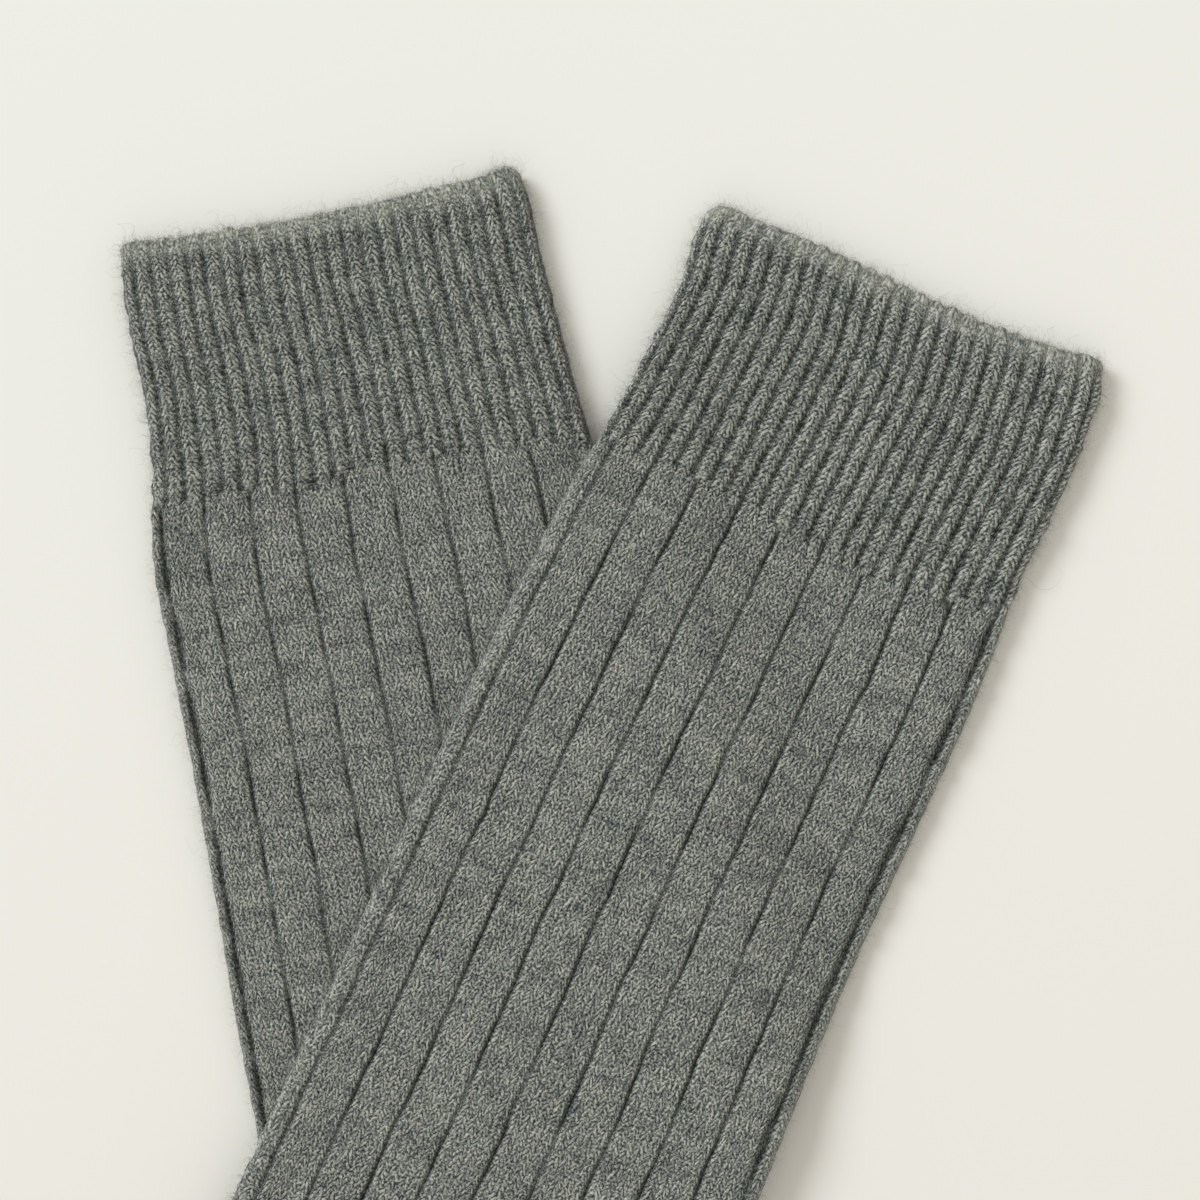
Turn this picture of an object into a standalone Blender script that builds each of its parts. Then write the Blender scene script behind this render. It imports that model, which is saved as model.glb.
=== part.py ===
"""A pair of ribbed crew socks, laid flat in profile and crossed at the ankle.

Each sock is one closed solid: a knitted wall with ribs raised in its outer points, a plain
inside, an open mouth at the cuff and a closed toe. The back sock rests flat on the surface.
The front sock rests on it beside the back sock and drapes over the back sock where they cross.

Plan sizes are in millimetres from the middle of the layout: X to the right, Y towards the
cuffs, Z up from the surface. A sock is a row of courses, each a line across the flat tube from
its instep fold (the front of the leg) to its heel fold (the back of the leg).
"""

import math
from collections import namedtuple

import bmesh
import bpy
import numpy as np

MM = 0.001
OBJECT_NAME = "crew_sock_pair"

# The knit. A wale is a column of stitches. Ribs are raised on the upper half of the flat tube,
# and the half that it rests on is plain.
WALES_ON_TOP = 49            # wales between the two folds, on the upper half
PANEL_WALES = 5              # a leg panel: four plain wales and one sunk wale
PANEL_SUNK_WALE = 2          # place of the sunk wale in the first panel
GROOVE_HALF_WIDTH = 0.62     # half of a leg groove, in wales
CUFF_RIB_DEPTH = 1.15
LEG_RIB_DEPTH = 0.85
PANEL_SHOULDER = 0.15        # drop of a panel's two outer wales below its two middle ones

# The wall. The two layers of a flat tube lie on each other, a small gap apart.
LAYER_GAP = 0.5
WALL = 1.8
MOUTH_FLARE = 0.5            # the inside opens by this much at the rounded top edge

# The way the front sock lies over the back sock.
LEG_THICKNESS = 4.1          # both layers, ribs included
CLEARANCE = 0.3              # between the two socks
DRAPE_SHELF = 7.0            # how far the front sock stays level past the back sock's edge
DRAPE_RUN = 26.0             # and the length over which it then comes down to the surface

WOOL_GREY = (0.149, 0.156, 0.136)   # linear colour of the heather grey wool
ROUGHNESS = 0.95
SMOOTH_ANGLE = 40.0          # degrees between faces that are shaded as one

EAR_REACH = 0.07             # share of a course that the ear at the instep fold takes up
QUARTER = 0.25               # where along a course its sags are given
UNDER_CORNERS = (0.25, 0.62)   # mesh points on the round below a fold, as shares of its length

# One row for each course that shapes a leg. x, y: middle of the course. width: fold to fold.
# lean: angle of the sock's axis, towards the toes. sag_instep, sag_heel: how far the course
# runs down the sock a quarter of the way in from each fold. ear: rise of the course at the
# instep fold. thick: both layers. rib: 1 in the cuff, 0 in the leg. rings: mesh rings from the
# row before to this one.
Course = namedtuple("Course", "name x y width lean sag_instep sag_heel ear thick rib rings")

FRONT_LEG = (
    Course("top edge", 61.4, 62.5, 81.6, 21.0, -0.9, 1.7, 1.3, 4.0, 1, 0),
    Course("cuff roll", 61.0, 61.4, 83.3, 21.0, -0.9, 1.7, 1.2, 5.2, 1, 1),
    Course("upper cuff", 56.6, 47.7, 87.0, 20.6, -0.6, 2.0, 0.0, 5.2, 1, 2),
    Course("lower cuff", 49.2, 31.9, 87.8, 21.4, -0.1, 2.8, 0.0, 5.2, 1, 1),
    Course("cuff end", 42.2, 18.0, 88.6, 22.6, 0.5, 3.6, 0.0, 4.9, 1, 1),
    Course("leg start", 40.9, 15.2, 89.4, 23.2, 0.6, 3.7, 0.0, 4.4, 0, 1),
    Course("leg swell", 33.2, -1.3, 92.2, 25.6, 0.4, 2.6, 0.0, 4.1, 0, 2),
    Course("upper leg", 25.3, -17.7, 93.1, 25.6, 0.2, 1.4, 0.0, 4.1, 0, 2),
    Course("upper calf", 16.2, -36.8, 93.4, 24.8, 0.0, 0.6, 0.0, 4.1, 0, 2),
    Course("calf", 6.8, -57.4, 93.4, 24.2, 0.0, 0.0, 0.0, 4.1, 0, 2),
    Course("lower calf", -1.6, -76.1, 94.0, 24.0, 0.0, 0.0, 0.0, 4.1, 0, 2),
    Course("shin", -10.6, -97.0, 95.0, 23.7, 0.0, 0.0, 0.0, 4.1, 0, 2),
    Course("low shin", -19.8, -117.5, 96.0, 23.8, 0.0, 0.0, 0.0, 4.1, 0, 2),
    Course("ankle", -31.0, -142.6, 97.0, 24.2, 0.0, 0.0, 0.0, 4.1, 0, 3),
)
BACK_LEG = (
    Course("top edge", -55.5, 78.4, 79.0, 10.3, 0.6, 1.4, 1.5, 4.0, 1, 0),
    Course("cuff roll", -55.3, 77.2, 80.8, 10.3, 0.6, 1.4, 1.3, 5.2, 1, 1),
    Course("upper cuff", -53.2, 62.8, 84.0, 9.9, 0.3, 1.0, 0.0, 5.2, 1, 2),
    Course("lower cuff", -49.4, 46.6, 84.9, 8.8, -0.4, 0.5, 0.0, 5.2, 1, 1),
    Course("cuff end", -46.1, 28.4, 88.3, 9.2, -1.1, 0.0, 0.0, 4.9, 1, 2),
    Course("leg start", -45.8, 25.3, 89.6, 9.2, -1.1, 0.0, 0.0, 4.4, 0, 1),
    Course("leg swell", -44.3, 16.5, 92.2, 9.8, -0.8, 0.0, 0.0, 4.1, 0, 1),
    Course("upper leg", -40.2, -3.8, 93.1, 10.2, -0.3, 0.0, 0.0, 4.1, 0, 2),
    Course("upper calf", -35.6, -27.8, 93.1, 10.2, 0.0, 0.0, 0.0, 4.1, 0, 1),
    Course("calf", -31.3, -51.6, 93.3, 10.3, 0.0, 0.0, 0.0, 4.1, 0, 1),
    Course("lower calf", -27.1, -75.5, 93.6, 10.4, 0.0, 0.0, 0.0, 4.1, 0, 1),
    Course("shin", -22.5, -99.6, 93.8, 10.4, 0.0, 0.0, 0.0, 4.1, 0, 1),
    Course("low shin", -18.4, -122.7, 94.0, 10.3, 0.0, 0.0, 0.0, 4.1, 0, 1),
    Course("ankle", -14.6, -143.6, 95.0, 10.3, 0.0, 0.0, 0.0, 4.1, 0, 2),
)

# One row for each course below the ankle, the same for both socks. turn: how far the sock has
# turned from the leg towards the toes. ahead: how far the course lies past the end of the
# turn, along the foot. inset: how far the instep fold is drawn in. sole_rib: 1 where the heel
# side keeps the leg's ribs. toe_rib: 1 where the instep side keeps them.
FootCourse = namedtuple("FootCourse", "name turn ahead inset width thick sole_rib toe_rib rings")
ANKLE_RADIUS = 34.0          # of the instep fold's bend
FOOT = (
    FootCourse("heel top", 12, 0, 0.0, 101.0, 4.1, 1, 1, 2),
    FootCourse("heel start", 21, 0, 0.0, 108.0, 4.1, 0, 1, 1),
    FootCourse("heel tip", 29, 0, 0.0, 119.0, 4.1, 0, 1, 2),
    FootCourse("heel end", 37, 0, 0.0, 111.0, 4.1, 0, 1, 2),
    FootCourse("arch", 47, 0, 0.0, 98.5, 4.1, 0, 1, 3),
    FootCourse("foot start", 58, 0, 0.0, 91.0, 4.0, 0, 1, 3),
    FootCourse("instep", 58, 42, 0.0, 88.0, 4.0, 0, 1, 3),
    FootCourse("ball", 58, 90, 0.0, 87.0, 4.0, 0, 1, 3),
    FootCourse("toe start", 58, 118, 0.5, 85.5, 4.0, 0, 1, 2),
    FootCourse("toe join", 58, 121, 0.7, 85.0, 4.0, 0, 0, 1),
    FootCourse("toe middle", 58, 140, 5.0, 75.0, 4.0, 0, 0, 1),
    FootCourse("toe taper", 58, 154, 12.0, 60.0, 4.0, 0, 0, 2),
    FootCourse("toe round", 58, 162.5, 19.5, 44.0, 3.9, 0, 0, 2),
    FootCourse("toe end", 58, 167, 26.5, 30.0, 3.6, 0, 0, 1),
)
TOE_WALL_RINGS = 1           # rings at the toe that the inside stops short of

# A sock as it lies. toes: 1 with the toes to the right, -1 to the left. wale_offset: place of
# the first wale past the instep fold. rib_phase: which of two neighbouring wales is sunk in
# the cuff. under: mesh points across the flat underside. inner: and across each inner layer.
Sock = namedtuple("Sock", "name leg toes wale_offset rib_phase under inner")
FRONT = Sock("front_sock", FRONT_LEG, -1, 0.2, 1, 19, 12)
BACK = Sock("back_sock", BACK_LEG, 1, 0.58, 0, 7, 7)

# One ring of the mesh: its two fold points in plan, and the values of its course.
Ring = namedtuple("Ring", "instep heel sag_instep sag_heel ear thick rib sole_rib toe_rib")


def clear_scene():
    """Remove the objects of the starting scene."""
    for obj in list(bpy.data.objects):
        bpy.data.objects.remove(obj, do_unlink=True)


def turned(vector, degrees):
    """A plan vector turned anticlockwise."""
    c, s = math.cos(math.radians(degrees)), math.sin(math.radians(degrees))
    return np.array([c * vector[0] - s * vector[1], s * vector[0] + c * vector[1]])


def down_the_sock(towards_instep, sock):
    """Plan direction from the cuff to the toes, square to a course."""
    return turned(towards_instep, -90 * sock.toes)


def leg_course_ends(course, sock):
    """Instep and heel fold points of a leg course, and the direction between them."""
    a = math.radians(course.lean)
    towards_instep = np.array([sock.toes * math.cos(a), math.sin(a)])
    middle = np.array([course.x, course.y])
    half = towards_instep * course.width / 2
    return middle + half, middle - half, towards_instep


def leg_rows(sock):
    """Fold points and section values of each leg course."""
    rows = []
    for course in sock.leg:
        instep, heel, _ = leg_course_ends(course, sock)
        ring = Ring(instep, heel, course.sag_instep, course.sag_heel, course.ear,
                    course.thick, course.rib, 1, 1)
        rows.append((ring, course.rings))
    return rows


def foot_rows(sock):
    """The same for the courses below the ankle, fanned round the bend of the instep."""
    start, _, towards_instep = leg_course_ends(sock.leg[-1], sock)
    centre = start + towards_instep * ANKLE_RADIUS
    rows = []
    for course in FOOT:
        across = turned(towards_instep, sock.toes * course.turn)
        along = down_the_sock(across, sock)
        instep = centre - across * (ANKLE_RADIUS + course.inset) + along * course.ahead
        heel = instep - across * course.width
        ring = Ring(instep, heel, 0.0, 0.0, 0.0, course.thick, 0, course.sole_rib, course.toe_rib)
        rows.append((ring, course.rings))
    return rows


def smooth_rings(rows):
    """Rings along a smooth curve through the rows, with each row's own number of steps.

    A value's slope at a row is the harmonic mean of its slopes on either side, or level where
    these differ in sign, so that no value swings past its rows.
    """
    table = np.array([np.hstack([np.asarray(v, float).ravel() for v in ring]) for ring, _ in rows])
    middle = (table[:, 0:2] + table[:, 2:4]) / 2
    reach = np.linalg.norm(np.diff(middle, axis=0), axis=1)
    reach += np.linalg.norm(np.diff(table[:, 2:4], axis=0), axis=1)
    spans = reach[:, None]
    secants = np.diff(table, axis=0) / spans
    before, after = secants[:-1], secants[1:]
    alike = before * after > 0
    near, far = 2 * spans[1:] + spans[:-1], spans[1:] + 2 * spans[:-1]
    mean = (near + far) / (near / np.where(alike, before, 1.0) + far / np.where(alike, after, 1.0))
    slopes = np.vstack([secants[:1], np.where(alike, mean, 0.0), secants[-1:]])
    rings = [table[0]]
    for i in range(1, len(rows)):
        span = reach[i - 1]
        for step in range(1, rows[i][1] + 1):
            t = step / rows[i][1]
            rings.append(
                (1 + 2 * t) * (1 - t) ** 2 * table[i - 1] + t * (1 - t) ** 2 * span * slopes[i - 1]
                + t * t * (3 - 2 * t) * table[i] + t * t * (t - 1) * span * slopes[i])
    return [Ring(r[0:2], r[2:4], *r[4:]) for r in rings]


def flat_tube(width, thick, girth_share):
    """Across, height and outward normal at shares of a flattened tube's girth.

    The share runs from 0 at the instep fold's middle height, over the top to 0.5 at the heel
    fold, and back along the underside.
    """
    radius = thick / 2
    level = width - thick
    corner = math.pi * radius / 2
    s = (girth_share % 1.0) * (2 * level + 4 * corner)
    marks = (corner, level, 2 * corner, level, corner)
    if s <= marks[0]:
        angle, across = s / radius, level / 2
    elif s <= sum(marks[:2]):
        angle, across = math.pi / 2, level / 2 - (s - marks[0])
    elif s <= sum(marks[:3]):
        angle, across = math.pi / 2 + (s - sum(marks[:2])) / radius, -level / 2
    elif s <= sum(marks[:4]):
        angle, across = 3 * math.pi / 2, -level / 2 + (s - sum(marks[:3]))
    else:
        angle, across = 3 * math.pi / 2 + (s - sum(marks[:4])) / radius, level / 2
    normal = np.array([math.cos(angle), math.sin(angle)])
    return np.array([across, radius]) + normal * radius, normal


def wale_place(index, ring, sock):
    """Place of a wale over the top, in wales from the instep fold: the leg's sunk wales are narrow."""
    in_panel = (index - PANEL_SUNK_WALE) % PANEL_WALES
    shift = 0.0
    if in_panel:
        pitch = (PANEL_WALES - 2 * GROOVE_HALF_WIDTH) / (PANEL_WALES - 2)
        shift = GROOVE_HALF_WIDTH + (in_panel - 1) * pitch - in_panel
    return index + sock.wale_offset + shift * (1 - ring.rib)


def wale_depth(index, ring, sock):
    """How far a wale lies below the ribs' crests."""
    in_panel = (index - PANEL_SUNK_WALE) % PANEL_WALES
    panel = 0.0
    if in_panel == 0:
        panel = LEG_RIB_DEPTH
    elif in_panel in (1, PANEL_WALES - 1):
        panel = PANEL_SHOULDER
    kept = ring.toe_rib if index < WALES_ON_TOP / 2 else ring.sole_rib
    cuff = CUFF_RIB_DEPTH if index % 2 == sock.rib_phase else 0.0
    return cuff * ring.rib + panel * kept * (1 - ring.rib)


def place_in_plan(ring, sock, across, width):
    """Plan point of a place across a course, with the course's sags and its ear.

    The sag is a cubic that is zero at both folds and has the course's two values a quarter of
    the way in from each.
    """
    share = min(max(0.5 - across / width, 0.0), 1.0)
    towards_instep = (ring.instep - ring.heel) / width
    from_quarter = (share - QUARTER) / (1 - 2 * QUARTER)
    mixed = ring.sag_instep + (ring.sag_heel - ring.sag_instep) * from_quarter
    sag = mixed * share * (1 - share) / (QUARTER * (1 - QUARTER))
    rise = ring.ear * max(0.0, 1 - share / EAR_REACH) ** 2
    middle = (ring.instep + ring.heel) / 2
    return middle + towards_instep * across + down_the_sock(towards_instep, sock) * (sag - rise)


def outer_loop(ring, sock, lift):
    """Points of the outer wall at one course, each with its share of the girth."""
    width = np.linalg.norm(ring.instep - ring.heel)
    points = []
    for index in range(WALES_ON_TOP):
        share = wale_place(index, ring, sock) / WALES_ON_TOP / 2
        place, normal = flat_tube(width, ring.thick, share)
        place = place - normal * wale_depth(index, ring, sock)
        points.append((share, place))
    quarter = math.pi * ring.thick / 4
    girth = 2 * (width - ring.thick) + 4 * quarter
    level = (width - ring.thick) / girth
    corners = [c * quarter / girth for c in UNDER_CORNERS]
    under = 0.5 + quarter / girth
    shares = [0.5 + c for c in corners]
    shares += [under + level * k / (sock.under - 1) for k in range(sock.under)]
    shares += [1 - c for c in reversed(corners)]
    points += [(share, flat_tube(width, ring.thick, share)[0]) for share in shares]
    return in_space(ring, sock, points, width, lift)


def inner_loop(ring, sock, lift, flare):
    """Points of the plain inner wall at one course, each with its share of the girth."""
    outer_width = np.linalg.norm(ring.instep - ring.heel)
    width = outer_width - 2 * WALL + 2 * flare
    gap = LAYER_GAP + flare
    quarter = math.pi * gap / 4
    girth = 2 * (width - gap) + 4 * quarter
    level = (width - gap) / girth
    steps = [level * k / sock.inner for k in range(sock.inner + 1)]
    shares = [0.0] + [quarter / girth + s for s in steps]
    shares += [0.5] + [0.5 + quarter / girth + s for s in steps]
    rise = np.array([0.0, (ring.thick - gap) / 2])
    points = [(share, flat_tube(width, gap, share)[0] + rise) for share in shares]
    return in_space(ring, sock, points, outer_width, lift)


def in_space(ring, sock, points, width, lift):
    """Turn across and height values into points in space, raised by the lift below them."""
    placed = []
    for share, (across, height) in points:
        x, y = place_in_plan(ring, sock, across, width)
        placed.append((share, np.array([x, y, height + lift(x, y)])))
    return placed


def outline(rings):
    """Closed plan outline of a sock through its fold points."""
    return np.array([r.instep for r in rings] + [r.heel for r in reversed(rings)])


def distance_outside(x, y, polygon):
    """Distance from a plan point to a closed outline, 0 inside it."""
    ends = np.roll(polygon, -1, axis=0)
    edge = ends - polygon
    point = np.array([x, y])
    along = np.clip(((point - polygon) * edge).sum(axis=1) / (edge * edge).sum(axis=1), 0, 1)
    nearest = np.linalg.norm(point - polygon - edge * along[:, None], axis=1).min()
    crosses = (polygon[:, 1] > y) != (ends[:, 1] > y)
    at = polygon[:, 0] + (y - polygon[:, 1]) / np.where(crosses, edge[:, 1], 1.0) * edge[:, 0]
    inside = np.count_nonzero(crosses & (x < at)) % 2 == 1
    return 0.0 if inside else nearest


def drape_over(polygon):
    """Lift of a sock that lies over another one with this outline."""
    height = LEG_THICKNESS + CLEARANCE

    def lift(x, y):
        t = min(max((distance_outside(x, y, polygon) - DRAPE_SHELF) / DRAPE_RUN, 0.0), 1.0)
        return height * (1 - t * t * (3 - 2 * t))

    return lift


def rest_flat(_x, _y):
    """Lift of a sock that rests on the surface."""
    return 0.0


def add_loop(bm, loop):
    """Vertices of one loop, in metres."""
    return [(share, bm.verts.new(point * MM)) for share, point in loop]


def join_loops(bm, first, second):
    """Quads between two loops with the same number of points."""
    count = len(first)
    for k in range(count):
        n = (k + 1) % count
        bm.faces.new((first[k][1], first[n][1], second[n][1], second[k][1]))


def join_rim(bm, outer, inner):
    """Triangles between two loops with unlike numbers of points, in step along the girth."""
    i = j = 0
    while i < len(outer) or j < len(inner):
        a, b = outer[i % len(outer)], inner[j % len(inner)]
        next_a, next_b = outer[(i + 1) % len(outer)], inner[(j + 1) % len(inner)]
        share_a = next_a[0] + (i + 1 >= len(outer))
        share_b = next_b[0] + (j + 1 >= len(inner))
        if j >= len(inner) or (i < len(outer) and share_a <= share_b):
            bm.faces.new((a[1], next_a[1], b[1]))
            i += 1
        else:
            bm.faces.new((a[1], next_b[1], b[1]))
            j += 1


def wool_material(name):
    """Heather grey wool."""
    material = bpy.data.materials.new(name)
    material.use_nodes = True
    shader = material.node_tree.nodes["Principled BSDF"]
    shader.inputs["Base Color"].default_value = (*WOOL_GREY, 1.0)
    shader.inputs["Roughness"].default_value = ROUGHNESS
    shader.inputs["Metallic"].default_value = 0.0
    material.diffuse_color = (*WOOL_GREY, 1.0)
    return material


def build_sock(sock, rings, lift, collection, parent):
    """One sock as a closed solid."""
    bm = bmesh.new()
    outer = [add_loop(bm, outer_loop(ring, sock, lift)) for ring in rings]
    inner = [add_loop(bm, inner_loop(ring, sock, lift, MOUTH_FLARE if k == 0 else 0.0))
             for k, ring in enumerate(rings[:-TOE_WALL_RINGS])]
    for near, far in zip(outer, outer[1:]):
        join_loops(bm, near, far)
    for near, far in zip(inner, inner[1:]):
        join_loops(bm, near, far)
    join_rim(bm, outer[0], inner[0])
    for end in (outer[-1], inner[-1]):
        bm.faces.new([vert for _, vert in end])
    bmesh.ops.recalc_face_normals(bm, faces=bm.faces)
    mesh = bpy.data.meshes.new(sock.name)
    bm.to_mesh(mesh)
    bm.free()
    mesh.materials.append(wool_material(sock.name + "_wool"))
    mesh.shade_smooth()
    mesh.set_sharp_from_angle(angle=math.radians(SMOOTH_ANGLE))
    obj = bpy.data.objects.new(sock.name, mesh)
    collection.objects.link(obj)
    obj.parent = parent
    return obj


def main():
    """Build the pair, with its origin under the middle of its box."""
    clear_scene()
    collection = bpy.data.collections.new(OBJECT_NAME)
    bpy.context.scene.collection.children.link(collection)
    parent = bpy.data.objects.new(OBJECT_NAME + "_origin", None)
    collection.objects.link(parent)

    back_rings = smooth_rings(leg_rows(BACK) + foot_rows(BACK))
    front_rings = smooth_rings(leg_rows(FRONT) + foot_rows(FRONT))
    lift = drape_over(outline(back_rings))
    socks = [build_sock(BACK, back_rings, rest_flat, collection, parent),
             build_sock(FRONT, front_rings, lift, collection, parent)]

    corners = np.array([vert.co for sock in socks for vert in sock.data.vertices])
    middle = (corners.min(axis=0) + corners.max(axis=0)) / 2
    parent.location = (-middle[0], -middle[1], 0.0)


if __name__ == "__main__":
    main()
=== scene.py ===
"""Looks of a pair of ribbed crew socks, laid flat in profile and crossed, on a pale floor.

Each sock is one knitted tube: a 1x1 rib cuff, a leg of wide ribs, a turned heel, a foot with a
plain sole and a plain toe closed by a linked seam. A sock's surface is worked out as a grid of
wales (columns of stitches) and courses (rows of stitches). The grid's rows follow the slanted
legs of the stitches, so that every stitch on the upper side stands in the mesh itself.

Lengths in the tables are layout millimetres: X to the right, Y towards the cuffs, Z up from the
floor, with the middle of the picture at (0, 0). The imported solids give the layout's place.
"""

import logging
import math
from dataclasses import dataclass, field, fields, replace
from enum import Enum
from typing import Any, Callable, Optional

import bpy
import numpy as np
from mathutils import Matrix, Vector


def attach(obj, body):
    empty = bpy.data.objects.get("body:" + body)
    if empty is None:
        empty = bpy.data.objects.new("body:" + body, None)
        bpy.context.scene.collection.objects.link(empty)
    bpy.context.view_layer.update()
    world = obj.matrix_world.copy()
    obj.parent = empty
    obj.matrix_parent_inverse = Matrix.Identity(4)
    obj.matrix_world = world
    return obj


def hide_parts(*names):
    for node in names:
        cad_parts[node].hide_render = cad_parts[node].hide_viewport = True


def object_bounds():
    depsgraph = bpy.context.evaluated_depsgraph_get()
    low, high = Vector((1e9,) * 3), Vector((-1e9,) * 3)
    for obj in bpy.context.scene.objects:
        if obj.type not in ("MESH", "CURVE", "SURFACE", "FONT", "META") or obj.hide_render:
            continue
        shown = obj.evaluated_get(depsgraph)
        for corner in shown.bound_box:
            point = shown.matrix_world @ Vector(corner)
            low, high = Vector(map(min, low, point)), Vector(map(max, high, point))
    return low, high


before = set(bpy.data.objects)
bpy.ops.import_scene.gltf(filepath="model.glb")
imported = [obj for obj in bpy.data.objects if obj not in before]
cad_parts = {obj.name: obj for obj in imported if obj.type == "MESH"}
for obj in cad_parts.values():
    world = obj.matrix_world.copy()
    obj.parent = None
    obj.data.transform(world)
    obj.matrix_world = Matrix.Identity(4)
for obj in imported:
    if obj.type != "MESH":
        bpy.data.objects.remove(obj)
CAD_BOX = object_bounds()

Array = np.ndarray
Colour = tuple[float, float, float, float]
MM = 0.001
BODY = "root"
LABELS = ("sunk", "hollow", "inside", "nap")   # values stored on the wall's points; the second and third are masks of painted shade
TINY = 1e-9
ASKEW = (0.31, 0.52, 0.79)   # a heading that no fibre runs along
TIP = 0.45                   # radius of a fibre at its tip, against its root
log = logging.getLogger("socks")

# Columns of a row of shape values: plan points on both folds, then single values.
INSTEP, HEEL = slice(0, 2), slice(2, 4)
SAG_INSTEP, SAG_HEEL, EAR, THICK, TURN = range(4, 9)


class Toes(Enum):
    """The side that a sock's toes point to, as the sign of X."""

    LEFT = -1
    RIGHT = 1


@dataclass(frozen=True)
class Course:
    """A course that shapes a leg.

    x, y: middle of the course. width: fold to fold. lean: angle of the sock's axis, towards the
    toes. sag_instep, sag_heel: how far the course runs down the sock a quarter of the way in
    from each fold. ear: rise of the course at the instep fold. thick: both layers.
    """

    name: str
    x: float
    y: float
    width: float
    lean: float
    sag_instep: float
    sag_heel: float
    ear: float
    thick: float


@dataclass(frozen=True)
class FootCourse:
    """A course below the ankle, the same on both socks.

    turn: how far the sock has turned from the leg towards the toes. ahead: how far the course
    lies past the end of the turn. inset: how far the instep fold is drawn in.
    """

    name: str
    turn: float
    ahead: float
    inset: float
    width: float
    thick: float


@dataclass(frozen=True)
class Crease:
    """A soft trough in the cloth.

    course, wale: its middle. along, across: its half-lengths, in millimetres. turn: its angle
    from the wales, in degrees. depth: how far it sinks.
    """

    name: str
    course: float
    wale: float
    along: float
    across: float
    turn: float
    depth: float


@dataclass(frozen=True)
class Waves:
    """An unevenness of the knit, as a sum of waves.

    shortest, longest: wavelengths, in wales. along: width of a wale in the unit that is counted
    along the sock. count: how many waves.
    """

    shortest: float
    longest: float
    along: float = 1.0
    count: int = 16


GROOVE_WAVES = Waves(2.6, 6.5, 2.2, 12)
CUFF_WAVES = Waves(2.6, 7.0)
FOLD_WAVES = Waves(1.6, 5.0)
WALE_WAVES = Waves(5.0, 17.0, 2.0, 12)
STITCH_WAVES = Waves(2.2, 5.0, 1.8)
COURSE_WAVES = Waves(2.2, 6.0, 1.8)

FRONT_LEG = tuple(Course(*row) for row in (
    ("top edge", 61.4, 62.5, 83.6, 21.0, -1.7, 1.4, 1.9, 5.2),
    ("cuff roll", 60.9, 61.4, 85.4, 21.0, -0.9, 1.7, 1.2, 5.2),
    ("upper cuff", 56.6, 47.7, 87.0, 20.6, -0.6, 2.0, 0.0, 5.2),
    ("lower cuff", 49.2, 31.9, 87.8, 21.4, -0.1, 2.8, 0.0, 5.2),
    ("cuff end", 42.2, 18.0, 88.6, 22.6, 0.5, 3.6, 0.0, 4.9),
    ("leg start", 40.9, 15.2, 89.4, 23.2, 0.6, 3.7, 0.0, 4.4),
    ("leg swell", 33.2, -1.3, 92.2, 25.6, 0.4, 2.6, 0.0, 4.1),
    ("upper leg", 25.3, -17.7, 93.1, 25.6, 0.2, 1.4, 0.0, 4.1),
    ("upper calf", 16.2, -36.8, 93.4, 24.8, 0.0, 0.6, 0.0, 4.1),
    ("calf", 6.8, -57.4, 93.4, 24.2, 0.0, 0.0, 0.0, 4.1),
    ("lower calf", -1.6, -76.1, 94.0, 24.0, 0.0, 0.0, 0.0, 4.1),
    ("shin", -10.6, -97.0, 95.0, 23.7, 0.0, 0.0, 0.0, 4.1),
    ("low shin", -19.8, -117.5, 96.0, 23.8, 0.0, 0.0, 0.0, 4.1),
    ("ankle", -31.0, -142.6, 97.0, 24.2, 0.0, 0.0, 0.0, 4.1),
))
BACK_LEG = tuple(Course(*row) for row in (
    ("top edge", -56.1, 78.3, 80.2, 10.3, 0.6, 1.4, 1.5, 5.2),
    ("cuff roll", -55.9, 77.1, 82.0, 10.3, 0.6, 1.4, 1.3, 5.2),
    ("upper cuff", -53.2, 62.8, 84.0, 9.9, 0.3, 1.0, 0.0, 5.2),
    ("lower cuff", -49.4, 46.6, 84.9, 8.8, -0.4, 0.5, 0.0, 5.2),
    ("cuff end", -46.1, 28.4, 88.3, 9.2, -1.1, 0.0, 0.0, 4.9),
    ("leg start", -45.8, 25.3, 89.6, 9.2, -1.1, 0.0, 0.0, 4.4),
    ("leg swell", -44.3, 16.5, 92.2, 9.8, -0.8, 0.0, 0.0, 4.1),
    ("upper leg", -40.2, -3.8, 93.1, 10.2, -0.3, 0.0, 0.0, 4.1),
    ("upper calf", -35.6, -27.8, 93.1, 10.2, 0.0, 0.0, 0.0, 4.1),
    ("calf", -31.3, -51.6, 93.3, 10.3, 0.0, 0.0, 0.0, 4.1),
    ("lower calf", -27.1, -75.5, 93.6, 10.4, 0.0, 0.0, 0.0, 4.1),
    ("shin", -22.5, -99.6, 93.8, 10.4, 0.0, 0.0, 0.0, 4.1),
    ("low shin", -18.4, -122.7, 94.0, 10.3, 0.0, 0.0, 0.0, 4.1),
    ("ankle", -14.6, -143.6, 95.0, 10.3, 0.0, 0.0, 0.0, 4.1),
))
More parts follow.
